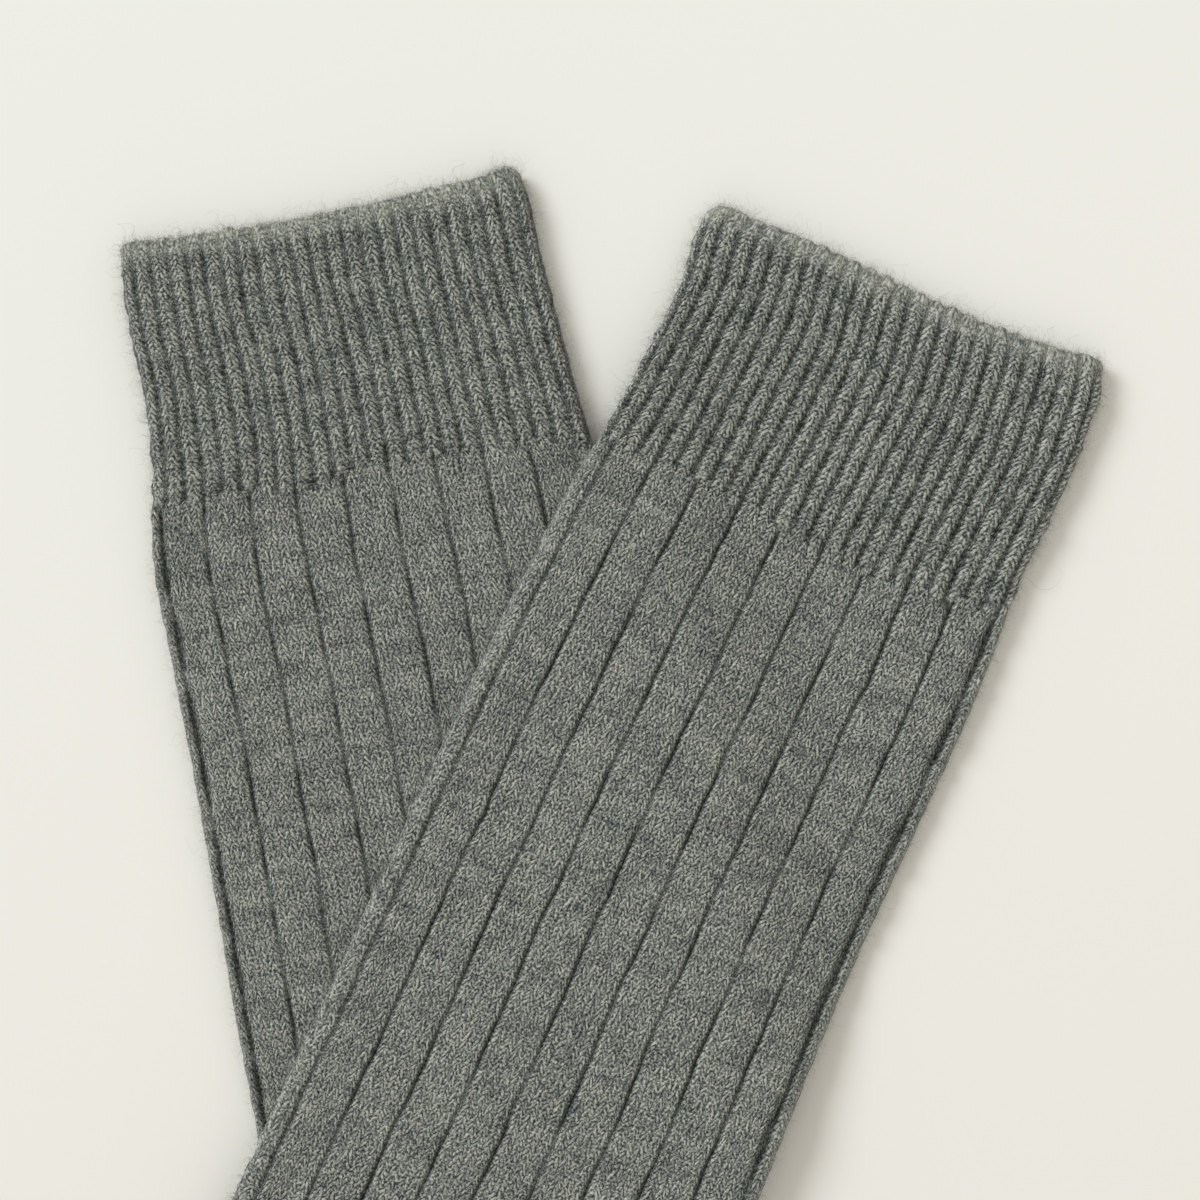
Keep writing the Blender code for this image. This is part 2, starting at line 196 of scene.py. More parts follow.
FOOT = tuple(FootCourse(*row) for row in (
    ("heel top", 12, 0, 0.0, 101.0, 4.1),
    ("heel start", 21, 0, 0.0, 108.0, 4.1),
    ("heel tip", 29, 0, 0.0, 119.0, 4.1),
    ("heel end", 37, 0, 0.0, 111.0, 4.1),
    ("arch", 47, 0, 0.0, 98.5, 4.1),
    ("foot start", 58, 0, 0.0, 91.0, 4.0),
    ("instep", 58, 42, 0.0, 88.0, 4.0),
    ("ball", 58, 90, 0.0, 87.0, 4.0),
    ("toe start", 58, 118, 0.5, 85.5, 4.0),
    ("toe join", 58, 121, 0.7, 85.0, 4.0),
    ("toe middle", 58, 140, 5.0, 75.0, 4.0),
    ("toe taper", 58, 154, 12.0, 60.0, 4.0),
    ("toe round", 58, 162.5, 19.5, 44.0, 3.9),
    ("toe end", 58, 167, 26.5, 30.0, 3.6),
))
INSTEP_WRINKLES = (
    Crease("upper wrinkle", 150.0, 5.0, 2.2, 12.0, 82.0, 0.9),
    Crease("middle wrinkle", 163.0, 4.0, 2.6, 15.0, 88.0, 1.1),
    Crease("lower wrinkle", 178.0, 6.0, 2.0, 11.0, 96.0, 0.8),
)


def smooth_step(low: float, high: float, at: Array) -> Array:
    """Cubic step: 0 below low, 1 above high, 3t^2 - 2t^3 between."""
    t = np.clip((at - low) / (high - low), 0.0, 1.0)
    return t * t * (3 - 2 * t)


def bell(at: Array, reach: Any) -> Array:
    """Bell curve: e to minus the square of at over reach."""
    return np.exp(-(at / reach) ** 2)


def unit(vectors: Array, least: float = 0.0) -> Array:
    """Vectors of the last axis over their lengths, each with least added."""
    return vectors / (np.linalg.norm(vectors, axis=-1, keepdims=True) + least)


def turned(vectors: Array, degrees: float) -> Array:
    """Plan vectors of the last axis, turned anticlockwise."""
    c, s = math.cos(math.radians(degrees)), math.sin(math.radians(degrees))
    return np.stack([c * vectors[..., 0] - s * vectors[..., 1],
                     s * vectors[..., 0] + c * vectors[..., 1]], axis=-1)


def hermite(t: Array, span: Any, ends: Array, slopes: Array, i: Array) -> Array:
    """Cubic Hermite curve, with the given values and slopes at both ends of a span.

    Args:
        t: Share of the span, from 0 to 1.
        span: Its length.
        ends: Values at the knots.
        slopes: Slopes at the knots.
        i: Number of the knot before each place.

    Returns:
        The curve's values.
    """
    return ((1 + 2 * t) * (1 - t) ** 2 * ends[i] + t * (1 - t) ** 2 * span * slopes[i]
            + t * t * (3 - 2 * t) * ends[i + 1] + t * t * (t - 1) * span * slopes[i + 1])


def soft_field(rng: np.random.Generator, x: Array, y: Array, waves: Waves) -> Array:
    """Smooth random field: a sum of sine waves of random heading, length and phase.

    Args:
        rng: Source of the waves.
        x: Places round the tube, in wales.
        y: Places along the sock.
        waves: What is added.

    Returns:
        Values with a mean of 0 and a standard deviation of about 1.
    """
    y = y / waves.along
    total = np.zeros(np.broadcast(x, y).shape)
    for _ in range(waves.count):
        heading, phase = rng.uniform(0, 2 * math.pi, 2)
        number = 2 * math.pi / rng.uniform(waves.shortest, waves.longest)
        total += np.sin(number * (math.cos(heading) * x + math.sin(heading) * y) + phase)
    return total / math.sqrt(waves.count / 2)


def quads(first: Array, second: Array) -> Array:
    """Corner values of the quads between two rings of points, round the last axis."""
    return np.stack([first, np.roll(first, -1, axis=-1),
                     np.roll(second, -1, axis=-1), second], axis=-1)


def fold_width(values: Array) -> Array:
    """Distance from fold to fold at rows of shape values."""
    return np.linalg.norm(values[..., INSTEP] - values[..., HEEL], axis=-1)


def even_rows(start: float, courses: int, steps: int) -> Array:
    """Course numbers of mesh rows, steps of them to a course."""
    return start + np.arange(courses * steps + 1) / steps


class Spine:
    """A sock's line of courses: each shape value as a smooth curve along the sock."""

    FINE_STEPS = 4000

    def __init__(self, leg: tuple[Course, ...], foot: tuple[FootCourse, ...],
                 toes: Toes, ankle_radius: float) -> None:
        """Set the courses out in plan and measure the line through their middles.

        Args:
            leg: Courses from the top edge to the ankle.
            foot: Courses from the heel to the toe's end.
            toes: The side that the toes point to.
            ankle_radius: Radius of the instep fold's bend.
        """
        rows = []
        for course in leg:
            a = math.radians(course.lean)
            towards = np.array([toes.value * math.cos(a), math.sin(a)])
            middle, half = np.array([course.x, course.y]), towards * course.width / 2
            rows.append([*(middle + half), *(middle - half), course.sag_instep,
                         course.sag_heel, course.ear, course.thick, 0.0])
        centre = np.array(rows[-1][INSTEP]) + towards * ankle_radius
        for course in foot:
            across = turned(towards, toes.value * course.turn)
            along = turned(across, -90 * toes.value)
            instep = centre - across * (ankle_radius + course.inset) + along * course.ahead
            rows.append([*instep, *(instep - across * course.width), 0.0, 0.0, 0.0,
                         course.thick, course.turn])
        self.table = np.array(rows)
        middle = (self.table[:, INSTEP] + self.table[:, HEEL]) / 2
        self.reach = np.linalg.norm(np.diff(middle, axis=0), axis=1)
        self.reach += np.linalg.norm(np.diff(self.table[:, HEEL], axis=0), axis=1)
        self.knots = np.concatenate([[0.0], np.cumsum(self.reach)])
        self.slopes = self._slopes()
        self.fine = np.linspace(0.0, self.knots[-1], self.FINE_STEPS)
        points = self.values(self.fine)
        line = (points[:, INSTEP] + points[:, HEEL]) / 2
        steps = np.linalg.norm(np.diff(line, axis=0), axis=1)
        self.length_at = np.concatenate([[0.0], np.cumsum(steps)])
        self.place = {course.name: float(np.interp(knot, self.fine, self.length_at))
                      for course, knot in zip((*leg, *foot), self.knots)}

    def _slopes(self) -> Array:
        """Slope at each course: the weighted harmonic mean of the slopes beside it, or 0 where
        they differ in sign, so that no value swings past its courses.

        Returns:
            One slope for each course and value.
        """
        spans = self.reach[:, None]
        secants = np.diff(self.table, axis=0) / spans
        before, after = secants[:-1], secants[1:]
        alike = before * after > 0
        near, far = 2 * spans[1:] + spans[:-1], spans[1:] + 2 * spans[:-1]
        mean = (near + far) / (near / np.where(alike, before, 1.0)
                               + far / np.where(alike, after, 1.0))
        return np.vstack([secants[:1], np.where(alike, mean, 0.0), secants[-1:]])

    def values(self, at: Array) -> Array:
        """Rows of shape values at places along the knots, in a new last axis."""
        i = np.clip(np.searchsorted(self.knots, at, side="right") - 1, 0, len(self.reach) - 1)
        span = self.reach[i][..., None]
        t = (np.clip(at, 0.0, self.knots[-1]) - self.knots[i])[..., None] / span
        return hermite(t, span, self.table, self.slopes, i)

    def evenly(self, points: int) -> Array:
        """Rows of shape values at even steps along the knots."""
        return self.values(np.linspace(0.0, self.knots[-1], points))

    def at_length(self, length: Array) -> Array:
        """Places along the knots for lengths along the middle line."""
        return np.interp(length, self.length_at, self.fine)

    def outline(self, points: int = 140) -> Array:
        """Closed plan outline through points on both fold lines."""
        values = self.evenly(points)
        return np.vstack([values[:, INSTEP], values[::-1, HEEL]])


@dataclass(frozen=True)
class KnitSizes:
    """Sizes of the knit, in millimetres or in wales where said."""

    wales: int = 100               # all round the tube
    wales_on_top: int = 49         # between the folds, on the upper side
    panel: int = 5                 # wales in a leg rib, the sunk one included
    panel_sunk: int = 2            # place of the first sunk wale
    cuff_knit_width: float = 1.54  # width of a raised wale in the cuff, in wales
    leg_sunk_width: float = 0.36   # width of a sunk wale in the leg, in wales
    slant: float = 1.35            # rise of a stitch's legs, in courses
    cuff_depth: float = 0.88
    cuff_hollow: float = 0.80      # how dark the painted shade in a dip between two cuff ribs is, against a leg groove
    cuff_spread: float = 0.24      # unevenness of the dips between the cuff's ribs
    cuff_edge_spread: float = 0.5  # unevenness of the cuff's last course
    rim_rib: float = 0.35          # share of the cuff's depth at the rolled edge
    rim_fade: float = 3.5          # courses from there to its whole depth
    rim_spread: float = 0.16       # unevenness of the rolled edge
    rim_nap: float = 2.6           # courses from the rolled edge over which its nap fades
    rim_courses: float = 1.6       # courses that the roll takes up
    groove_depth: float = 0.95
    groove_reach: float = 0.19     # half-width of a leg groove, in wales
    groove_open: float = 0.80      # usual share of the depth that a groove has
    groove_spread: float = 0.30    # its unevenness
    groove_least: float = 0.25
    groove_most: float = 1.15
    heel_groove: float = 2.5       # how much wider the groove beside the heel fold is
    instep_groove: float = 0.45    # how much shallower the one beside the instep fold is
    fold_stretch: float = 0.40     # shift of both grooves away from their folds, in wales
    fold_lumps: float = 0.16       # unevenness of the folds
    fold_rib: float = 0.3          # share of the ribs' depth that is left on a fold
    fold_nap: float = 0.2          # how brushed up a worn fold is, against the rolled edge
    rib_fade: tuple[float, float] = (0.002, 0.016)    # from a fold, in shares of the girth:
    lump_fade: tuple[float, float] = (0.008, 0.022)   # where the ribs reach their depth, and
    nap_fade: tuple[float, float] = (0.004, 0.022)    # the lumps and the nap fade out
    shoulder_depth: float = 0.11
    shoulder_reach: float = 1.2
    wale_gap: float = 0.20         # depth of the valley between two plain wales
    leg_gap: float = 0.10          # depth of the valley between a stitch's two legs
    course_gap: float = 0.20       # depth of the valley between two courses
    even_yarn: float = 0.67        # mean height of a leg, where the rows don't follow it
    wale_pitch: float = 1.9
    stitch_spread: float = 0.045   # unevenness from stitch to stitch
    wale_wander: float = 0.05      # sideways wander of the wales, in wales
    stitch_wander: float = 0.03    # and from stitch to stitch
    course_wander: float = 0.12    # wander of the courses along the sock
    heel_start: float = 0.3        # share of the ankle's turn before the heel's plain knit
    seam_height: float = 0.45      # of the linked seam across the toes
    seam_reach: float = 0.8        # its half-width, in courses
    under_relief: float = 0.5      # share of the relief on the side that is lain on
    wall: float = 1.8
    layer_gap: float = 0.5
    mouth_flare: float = 0.5       # how far the inside opens at the mouth
    toe_reach: float = 1.2         # how far the toe's end stands out at its sides
    toe_bulge: float = 3.0         # and how much further in its middle
    ear_place: float = 0.045       # share of a course from the instep fold to its ear
    ear_reach: float = 0.035
    corner_drop: float = 1.2       # of the mouth's corners
    corner_reach: float = 0.022
    quarter: float = 0.25


@dataclass
class Grid:
    """Rows of points of the tube's wall, one column for each mesh line, with a value at each.

    upper_v, lower_v: course numbers for the faces below and above the row.
    """

    points: Array
    upper_v: Array
    lower_v: Array
    sunk: Array
    hollow: Array
    inside: Array
    nap: Array

    def rows(self, start: int, stop: Optional[int] = None) -> "Grid":
        """The rows from start, up to but not with stop."""
        return Grid(*(getattr(self, f.name)[start:stop] for f in fields(self)))

    def backwards(self) -> "Grid":
        """The rows in the opposite order."""
        return Grid(self.points[::-1], self.lower_v[::-1], self.upper_v[::-1],
                    *(getattr(self, name)[::-1] for name in LABELS))

    @staticmethod
    def stacked(grids: list["Grid"]) -> "Grid":
        """Grids joined one after the other."""
        return Grid(*(np.concatenate([getattr(g, f.name) for g in grids]) for f in fields(Grid)))


def put(name: str, data: Any) -> bpy.types.Object:
    """A new object in the scene, made of a mesh, a light or a camera."""
    thing = bpy.data.objects.new(name, data)
    bpy.context.scene.collection.objects.link(thing)
    return thing


def store(mesh: bpy.types.Mesh, name: str, kind: str, domain: str, values: Array) -> None:
    """Store a value for each point or edge on a mesh."""
    mesh.attributes.new(name, kind, domain).data.foreach_set("value", values)


def new_mesh(name: str, points: Array, blocks: list[Array]) -> bpy.types.Mesh:
    """A smooth-shaded mesh from whole arrays.

    Args:
        name: Name of the mesh.
        points: Vertices, in millimetres.
        blocks: Vertex numbers of the faces, one row a face, a block for each count of corners.

    Returns:
        The mesh.
    """
    mesh = bpy.data.meshes.new(name)
    corners = np.concatenate([block.ravel() for block in blocks])
    sides = np.concatenate([np.full(len(block), block.shape[1]) for block in blocks])
    mesh.vertices.add(len(points))
    mesh.vertices.foreach_set("co", (points * MM).astype(np.float32).ravel())
    mesh.loops.add(len(corners))
    mesh.loops.foreach_set("vertex_index", corners.astype(np.int32))
    mesh.polygons.add(len(sides))
    mesh.polygons.foreach_set("loop_start", (np.cumsum(sides) - sides).astype(np.int32))
    mesh.update(calc_edges=True)
    mesh.shade_smooth()
    return mesh


def signed_volume(points: Array, blocks: list[Array]) -> float:
    """Volume inside closed blocks of faces, below 0 where they face inwards."""
    volume = 0.0
    for faces in blocks:
        a = points[faces[:, 0]]
        for k in range(1, faces.shape[1] - 1):
            b, c = points[faces[:, k]], points[faces[:, k + 1]]
            volume += float((a * np.cross(b, c)).sum() / 6)
    return volume


def place_mesh(name: str, mesh: bpy.types.Mesh, material: bpy.types.Material) -> bpy.types.Object:
    """Put a finished mesh in the scene, riding on the object's one body."""
    mesh.materials.append(material)
    piece = put(name, mesh)
    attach(piece, BODY)
    return piece


@dataclass
class Sock:
    """A knitted sock, laid flat in profile."""

    name: str
    leg: tuple[Course, ...]
    toes: Toes
    wale_offset: float            # of the first wale from the instep fold
    cuff_sunk: int
    seed: int
    rests_on: tuple[str, ...]
    lies_over: Optional["Sock"] = None
    foot: tuple[FootCourse, ...] = FOOT
    creases: tuple[Crease, ...] = INSTEP_WRINKLES
    sizes: KnitSizes = KnitSizes()
    ankle_radius: float = 34.0
    cuff_courses: int = 35
    leg_courses: int = 118
    foot_courses: int = 114
    cuff_rows: int = 3            # mesh rows to a course
    leg_rows: int = 2
    foot_rows: int = 2
    turn_rows: int = 66
    inner_step: int = 10          # outer rows to an inner one
    rim_radius: float = 1.1
    rim_swell: float = 0.3        # of the roll past its radius
    rim_rows: int = 5
    drape_shelf: float = 7.0
    drape_run: float = 26.0
    drape_height: float = 4.4
    map_step: float = 400.0       # courses between the two socks' stitch maps
    shift: Array = field(default_factory=lambda: np.zeros(2))

    def __post_init__(self) -> None:
        """Lay out the spine, the columns and the courses."""
        self.spine = Spine(self.leg, self.foot, self.toes, self.ankle_radius)
        self.rng = np.random.default_rng(self.seed)
        self._set_columns()
        self._set_courses()

    def _down(self, towards: Array) -> Array:
        """Plan vectors down the sock, from those towards the instep fold."""
        return turned(towards, -90 * self.toes.value)

    def reach_in_plan(self) -> Array:
        """The fold lines, with the instep one raised by the ear."""
        values = self.spine.evenly(600)
        up = -self._down(unit(values[:, INSTEP] - values[:, HEEL]))
        return np.vstack([values[:, INSTEP] + up * values[:, EAR, None], values[:, HEEL]])

    # Columns: lines of the mesh that run along the wales.

    def _set_columns(self) -> None:
        """Mesh lines round the tube: four to a wale on the upper side, one on the underside."""
        k = self.sizes
        below = k.wales - k.wales_on_top
        self.wale = np.concatenate([np.repeat(np.arange(k.wales_on_top), 4),
                                    np.arange(k.wales_on_top, k.wales)])
        self.part = np.concatenate([np.tile([0.0, 0.25, 0.5, 0.75], k.wales_on_top),
                                    np.full(below, 0.5)])
        self.under = self.wale >= k.wales_on_top
        self.u = self.wale + self.part
        index = np.arange(k.wales)
        in_cuff = (index % 2 == self.cuff_sunk).astype(float)
        in_leg = (index % k.panel == k.panel_sunk).astype(float)
        knit = (k.panel - k.leg_sunk_width) / (k.panel - 1)
        self.cuff_sunk_at = in_cuff[self.wale]
        self.leg_sunk_at = in_leg[self.wale]
        self.cuff_flat = self._flat_places(
            np.where(in_cuff > 0, 2 - k.cuff_knit_width, k.cuff_knit_width), self.cuff_sunk)
        flat = self._flat_places(np.where(in_leg > 0, k.leg_sunk_width, knit), k.panel_sunk)
        self.plain_flat = self._flat_places(np.ones(k.wales), 0)
        self.plain_place = self._round_places(self.plain_flat)
        self.plain_share = self.plain_place / (2 * k.wales_on_top)
        share = self.plain_share % 1.0
        self.from_fold = np.minimum(np.minimum(share, 1 - share), np.abs(share - 0.5))
        self.heel_half = np.abs(share - 0.5) < 0.25
        last = k.wales_on_top - 2
        self.wider_groove = 1 + k.heel_groove * bell(flat - last, 1.5)
        beside = bell(flat - k.panel_sunk - 0.5, 2.0)
        self.groove_share = 1 - k.instep_groove * beside
        self.stretch = k.fold_stretch * (beside - bell(flat - last - 0.5, 2.0))
        self.leg_flat = flat + self.stretch
        uneven = self.rng.normal(0.0, k.cuff_edge_spread, k.wales)
        self.cuff_edge = np.clip(uneven, -1.0, 1.0)[self.wale]

    def _flat_places(self, widths: Array, anchor: int) -> Array:
        """Places of the columns, in wales from the middle of the first one.

        Args:
            widths: Width of each wale, in mean wales.
            anchor: The wale whose middle keeps its even place.

        Returns:
            One place for each column.
        """
        edges = np.concatenate([[0.0], np.cumsum(widths)])
        edges += anchor - (edges[anchor] + edges[anchor + 1]) / 2
        return edges[self.wale] + self.part * widths[self.wale]

    def _round_places(self, flat: Array) -> Array:
        """Places round the tube from the instep fold: the underside's wales are closer."""
        k = self.sizes
        over = np.maximum(flat - k.wales_on_top, 0.0)
        return (np.minimum(flat, k.wales_on_top)
                + over * k.wales_on_top / (k.wales - k.wales_on_top) + self.wale_offset)

    # Courses: lengths along the sock for every course number.

    def _set_courses(self) -> None:
        """Course numbers at the ends of the cuff, leg, turn and foot, and their places."""
        place = self.spine.place
        cuff_end_at = (place["cuff end"] + place["leg start"]) / 2
        self.ankle_v = float(self.cuff_courses + self.leg_courses)
        self.leg_pitch = (place["ankle"] - cuff_end_at) / self.leg_courses
        self.turn_angle = math.radians(self.foot[-1].turn)
        self.mid_radius = self.ankle_radius + self.leg[-1].width / 2
        self.foot_v = self.ankle_v + self.mid_radius * self.turn_angle / self.leg_pitch
        self.toe_v = self.foot_v + self.foot_courses
        self.v_knots = np.array([0.0, self.cuff_courses, self.ankle_v, self.foot_v, self.toe_v])
        self.length_knots = np.array([self.rim_radius, cuff_end_at, place["ankle"],
                                      place["foot start"], place["toe end"]])
        foot_pitch = (place["toe end"] - place["foot start"]) / self.foot_courses
        self.seam_v = self.foot_v + (place["toe join"] - place["foot start"]) / foot_pitch

    def _knit_state(self, v: Array) -> tuple[Array, Array, Array, Array]:
        """What the knit is at each place: blends of the cuff, leg and plain patterns.

        Args:
            v: Course numbers, with one column for each mesh line.

        Returns:
            The leg's share against the cuff's, the plain share, how sunk the wale is, and the
            place in wales.
        """
        to_leg = smooth_step(self.cuff_courses - 0.6, self.cuff_courses + 0.7, v - self.cuff_edge)
        heel_v = self.ankle_v + (self.foot_v - self.ankle_v) * self.sizes.heel_start
        plain = self.heel_half * smooth_step(heel_v - 1.0, heel_v, v)
        plain = np.maximum(plain, smooth_step(self.seam_v - 0.5, self.seam_v + 0.5, v))
        sunk = (1 - to_leg) * self.cuff_sunk_at + to_leg * (1 - plain) * self.leg_sunk_at
        leg_flat = (1 - plain) * self.leg_flat + plain * self.plain_flat
        return to_leg, plain, sunk, (1 - to_leg) * self.cuff_flat + to_leg * leg_flat

    def _apart(self, sunk: Array) -> Array:
        """Distance from the wale's middle, from 0 to 1, with 1 all over a sunk wale."""
        from_middle = np.abs(2 * self.part - 1)
        return from_middle + (1 - from_middle) * sunk

    def _depth(self, nominal: Array, v: Array,
               stitches: Array) -> tuple[Array, Array, Array, Array]:
        """How far the surface lies below the crests, with ribs, wales, stitches and creases.

        The dip between two cuff ribs is a cubed raised cosine. A leg groove is a bell curve with a
        wider, shallower one for the panel's shoulders. A stitch's leg is a parabola across the
        yarn, and dips at its two ends.

        Args:
            nominal: Course numbers at the middles of the wales.
            v: Course numbers.
            stitches: 1 where the rows follow the stitches, 0 where these are left out.

        Returns:
            The depth, how sunk the wale is, the ribs' own share of the depth as the mask of the
            painted shade in their dips and grooves, and the place round the tube.
        """
        k, rng = self.sizes, self.rng
        to_leg, plain, sunk, flat = self._knit_state(nominal)
        beside = np.abs((flat - self.cuff_sunk + 1) % 2 - 1)
        rib = k.cuff_depth * (0.5 + 0.5 * np.cos(math.pi * beside)) ** 3.0
        half = k.panel / 2
        beside = np.abs((flat - self.stretch - k.panel_sunk + half) % k.panel - half)
        groove = k.groove_depth * bell(beside, k.groove_reach * self.wider_groove)
        groove += k.shoulder_depth * bell(beside, k.shoulder_reach)
        open_it = k.groove_open + k.groove_spread * soft_field(rng, flat, v, GROOVE_WAVES)
        groove = groove * np.clip(open_it, k.groove_least, k.groove_most) * self.groove_share
        groove = groove * (0.7 + 0.3 * self.wider_groove)
        apart = self._apart(sunk)
        phase = v - k.slant * apart
        yarn = stitches * (1 - (2 * (phase % 1.0) - 1) ** 2) + (1 - stitches) * k.even_yarn
        rib = rib * (1 + k.cuff_spread * soft_field(rng, flat, v, CUFF_WAVES))
        rib = rib * (1.1 - 0.3 * yarn) * (k.rim_rib + (1 - k.rim_rib) * smooth_step(0.0, k.rim_fade, v))
        depth = (1 - to_leg) * rib + to_leg * (1 - plain) * groove
        depth = depth * (k.fold_rib + (1 - k.fold_rib) * smooth_step(*k.rib_fade, self.from_fold))
        # Mask of the painted shade in the dips between cuff ribs and in the leg's grooves, from their
        # depth; lighter in the cuff.
        hollow = np.clip(depth / k.groove_depth, 0, 1.2)
        hollow = hollow * (k.cuff_hollow + (1 - k.cuff_hollow) * to_leg)

        across_leg = 2 * (apart - 0.5)
        ends = np.where(across_leg > 0, k.wale_gap, k.leg_gap) * across_leg ** 2
        depth += (1 - sunk) * ends
        depth += k.course_gap * (1 - yarn) * (0.55 + 0.45 * (1 - np.abs(across_leg)))
        spread = rng.normal(0.0, k.stitch_spread, (int(self.toe_v) + 5, k.wales))
        row = np.clip(np.floor(phase + 1e-6).astype(int) + 2, 0, len(spread) - 1)
        depth += stitches * spread[row, np.broadcast_to(self.wale, row.shape)]
        lumps = soft_field(rng, self.u * 1.3, v, FOLD_WAVES)
        depth += k.fold_lumps * lumps * (1 - smooth_step(*k.lump_fade, self.from_fold))
        depth *= np.where(self.under, k.under_relief, 1.0)
        seam = k.seam_height * bell(v - self.seam_v, k.seam_reach)
        depth -= np.where(self.under, 0.0, seam)

        for crease in self.creases:
            along = (v - crease.course) * self.leg_pitch
            across = (self.u - crease.wale) * k.wale_pitch
            c, s = math.cos(math.radians(crease.turn)), math.sin(math.radians(crease.turn))
            down, side = c * along + s * across, c * across - s * along
            fall = np.exp(-(down / crease.along) ** 2 - (side / crease.across) ** 2)
            depth += np.where(self.under, 0.0, crease.depth * fall)
        depth = np.where(self.under, np.maximum(depth, 0.0), depth)
        return depth, sunk, hollow, self._round_places(flat)

    # Shape: from course and wale to a point in space.

    def _tube(self, width: Array, thick: Array, share: Array) -> tuple[Array, Array, Array, Array]:
        """Flattened tube: two level runs joined by half circles, walked by arc length.

        Args:
            width: Fold to fold.
            thick: Height of the tube.
            share: Share of the girth, from the instep fold over the top.

        Returns:
            Across, height, and the outward normal's across and height.
        """
        radius, level = thick / 2, width - thick
        corner, quarter = math.pi * radius / 2, math.pi / 2
        walked = (share % 1.0) * (2 * level + 4 * corner)
        same = 0 * walked
        marks = [corner, corner + level, 3 * corner + level, 3 * corner + 2 * level]
        legs = [walked <= mark for mark in marks]
        angle = np.select(legs, [walked / radius, quarter + same,
                                 quarter + (walked - marks[1]) / radius, 3 * quarter + same],
                          3 * quarter + (walked - marks[3]) / radius)
        across = np.select(legs, [level / 2 + same, level / 2 - (walked - marks[0]),
                                  -level / 2 + same, -level / 2 + (walked - marks[2])],
                           level / 2 + same)
        c, s = np.cos(angle), np.sin(angle)
        return across + radius * c, radius + radius * s, c, s

    def _in_space(self, values: Array, across: Array, height: Array) -> Array:
        """Points in space from across and height values at each course.

        A course sags by a cubic with the given values a quarter of the way in from each fold,
        and rises beside the instep fold by a bell curve. Its two corners drop by parabolas.

        Args:
            values: Shape values from the spine.
            across: Distance from the sock's middle line, towards the instep.
            height: Height above what the sock lies on.

        Returns:
            Points, with the drape over the lower sock added.
        """
        k = self.sizes
        instep, heel = values[..., INSTEP], values[..., HEEL]
        width = fold_width(values)
        share = np.clip(0.5 - across / width, 0.0, 1.0)
        towards = (instep - heel) / width[..., None]
        sags = values[..., SAG_INSTEP], values[..., SAG_HEEL]
        mixed = sags[0] + (sags[1] - sags[0]) * (share - k.quarter) / (1 - 2 * k.quarter)
        sag = mixed * share * (1 - share) / (k.quarter * (1 - k.quarter))
        rise = values[..., EAR] * bell(share - k.ear_place, k.ear_reach)
        corner = (np.maximum(0.0, 1 - share / k.corner_reach) ** 2
                  + np.maximum(0.0, 1 - (1 - share) / k.corner_reach) ** 2)
        rise -= k.corner_drop * corner * values[..., EAR] / self.leg[0].ear
        plan = ((instep + heel) / 2 + towards * across[..., None]
                + self._down(towards) * (sag - rise)[..., None])
        return np.dstack([plan + self.shift, height + self.lift(plan)])

    def lift(self, plan: Array) -> Array:
        """Height that the sock gains where it lies over the lower one.

        It is level over the lower sock's outline and a shelf round it, then falls to the floor
        along a cubic step.

        Args:
            plan: Plan points.

        Returns:
            The lift of each point.
        """
        if self.lies_over is None:
            return np.zeros(plan.shape[:-1])
        flat = plan.reshape(-1, 2)
        outline = self.lies_over.spine.outline()
        ends = np.roll(outline, -1, axis=0)
        edge = ends - outline
        rise = np.where(np.abs(edge[:, 1]) > TINY, edge[:, 1], TINY)
        apart = np.empty(len(flat))
        for part in np.array_split(np.arange(len(flat)), max(1, len(flat) // 8000)):
            point = flat[part][:, None, :]
            share = ((point - outline) * edge).sum(axis=2) / (edge * edge).sum(axis=1)
            near = point - outline - edge * np.clip(share, 0, 1)[..., None]
            nearest = np.sqrt((near ** 2).sum(axis=2)).min(axis=1)
            crosses = (outline[:, 1] > point[..., 1]) != (ends[:, 1] > point[..., 1])
            at = outline[:, 0] + (point[..., 1] - outline[:, 1]) / rise * edge[:, 0]
            odd = (crosses & (point[..., 0] < at)).sum(axis=1) % 2 == 1
            apart[part] = np.where(odd, 0.0, nearest)
        low = smooth_step(self.drape_shelf, self.drape_shelf + self.drape_run, apart)
        return (self.drape_height * (1 - low)).reshape(plan.shape[:-1])

    def _outer(self, nominal: Array, v: Array, at: Array,
               stitches: Array) -> tuple[Array, Array, Array]:
        """Outer surface at course numbers and places along the knots.

        Args:
            nominal: Course numbers at the middles of the wales.
            v: Course numbers.
            at: Places along the knots.
            stitches: 1 where the rows follow the stitches.

        Returns:
            The points, how sunk each one's wale is, and the mask of the painted groove shade there.
        """
        k, rng = self.sizes, self.rng
        length = np.interp(at, self.spine.fine, self.spine.length_at)
        depth, sunk, hollow, place = self._depth(nominal, v, stitches)
        wander = k.wale_wander * soft_field(rng, place, length, WALE_WAVES)
        wander += k.stitch_wander * soft_field(rng, place, length, STITCH_WAVES)
        place = place + np.where(self.under, 0.0, wander)
        rise = k.course_wander * stitches * soft_field(rng, place, length, COURSE_WAVES)
        values = self.spine.values(self.spine.at_length(length + np.where(self.under, 0.0, rise)))
        share = place / (2 * k.wales_on_top)
        across, height, nx, nz = self._tube(fold_width(values), values[..., THICK], share)
        return self._in_space(values, across - nx * depth, height - nz * depth), sunk, hollow

    def _inner(self, at: Array, flare: Array) -> Array:
        """Plain inner surface at places along the knots, opened by flare at the mouth."""
        k = self.sizes
        values = self.spine.values(np.broadcast_to(at[:, None], (len(at), len(self.u))))
        width = fold_width(values)
        gap = k.layer_gap + flare[:, None] + 0 * width
        across, height, _, _ = self._tube(width - 2 * k.wall + 2 * flare[:, None], gap,
                                          self.plain_share)
        return self._in_space(values, across, height + (values[..., THICK] - gap) / 2)

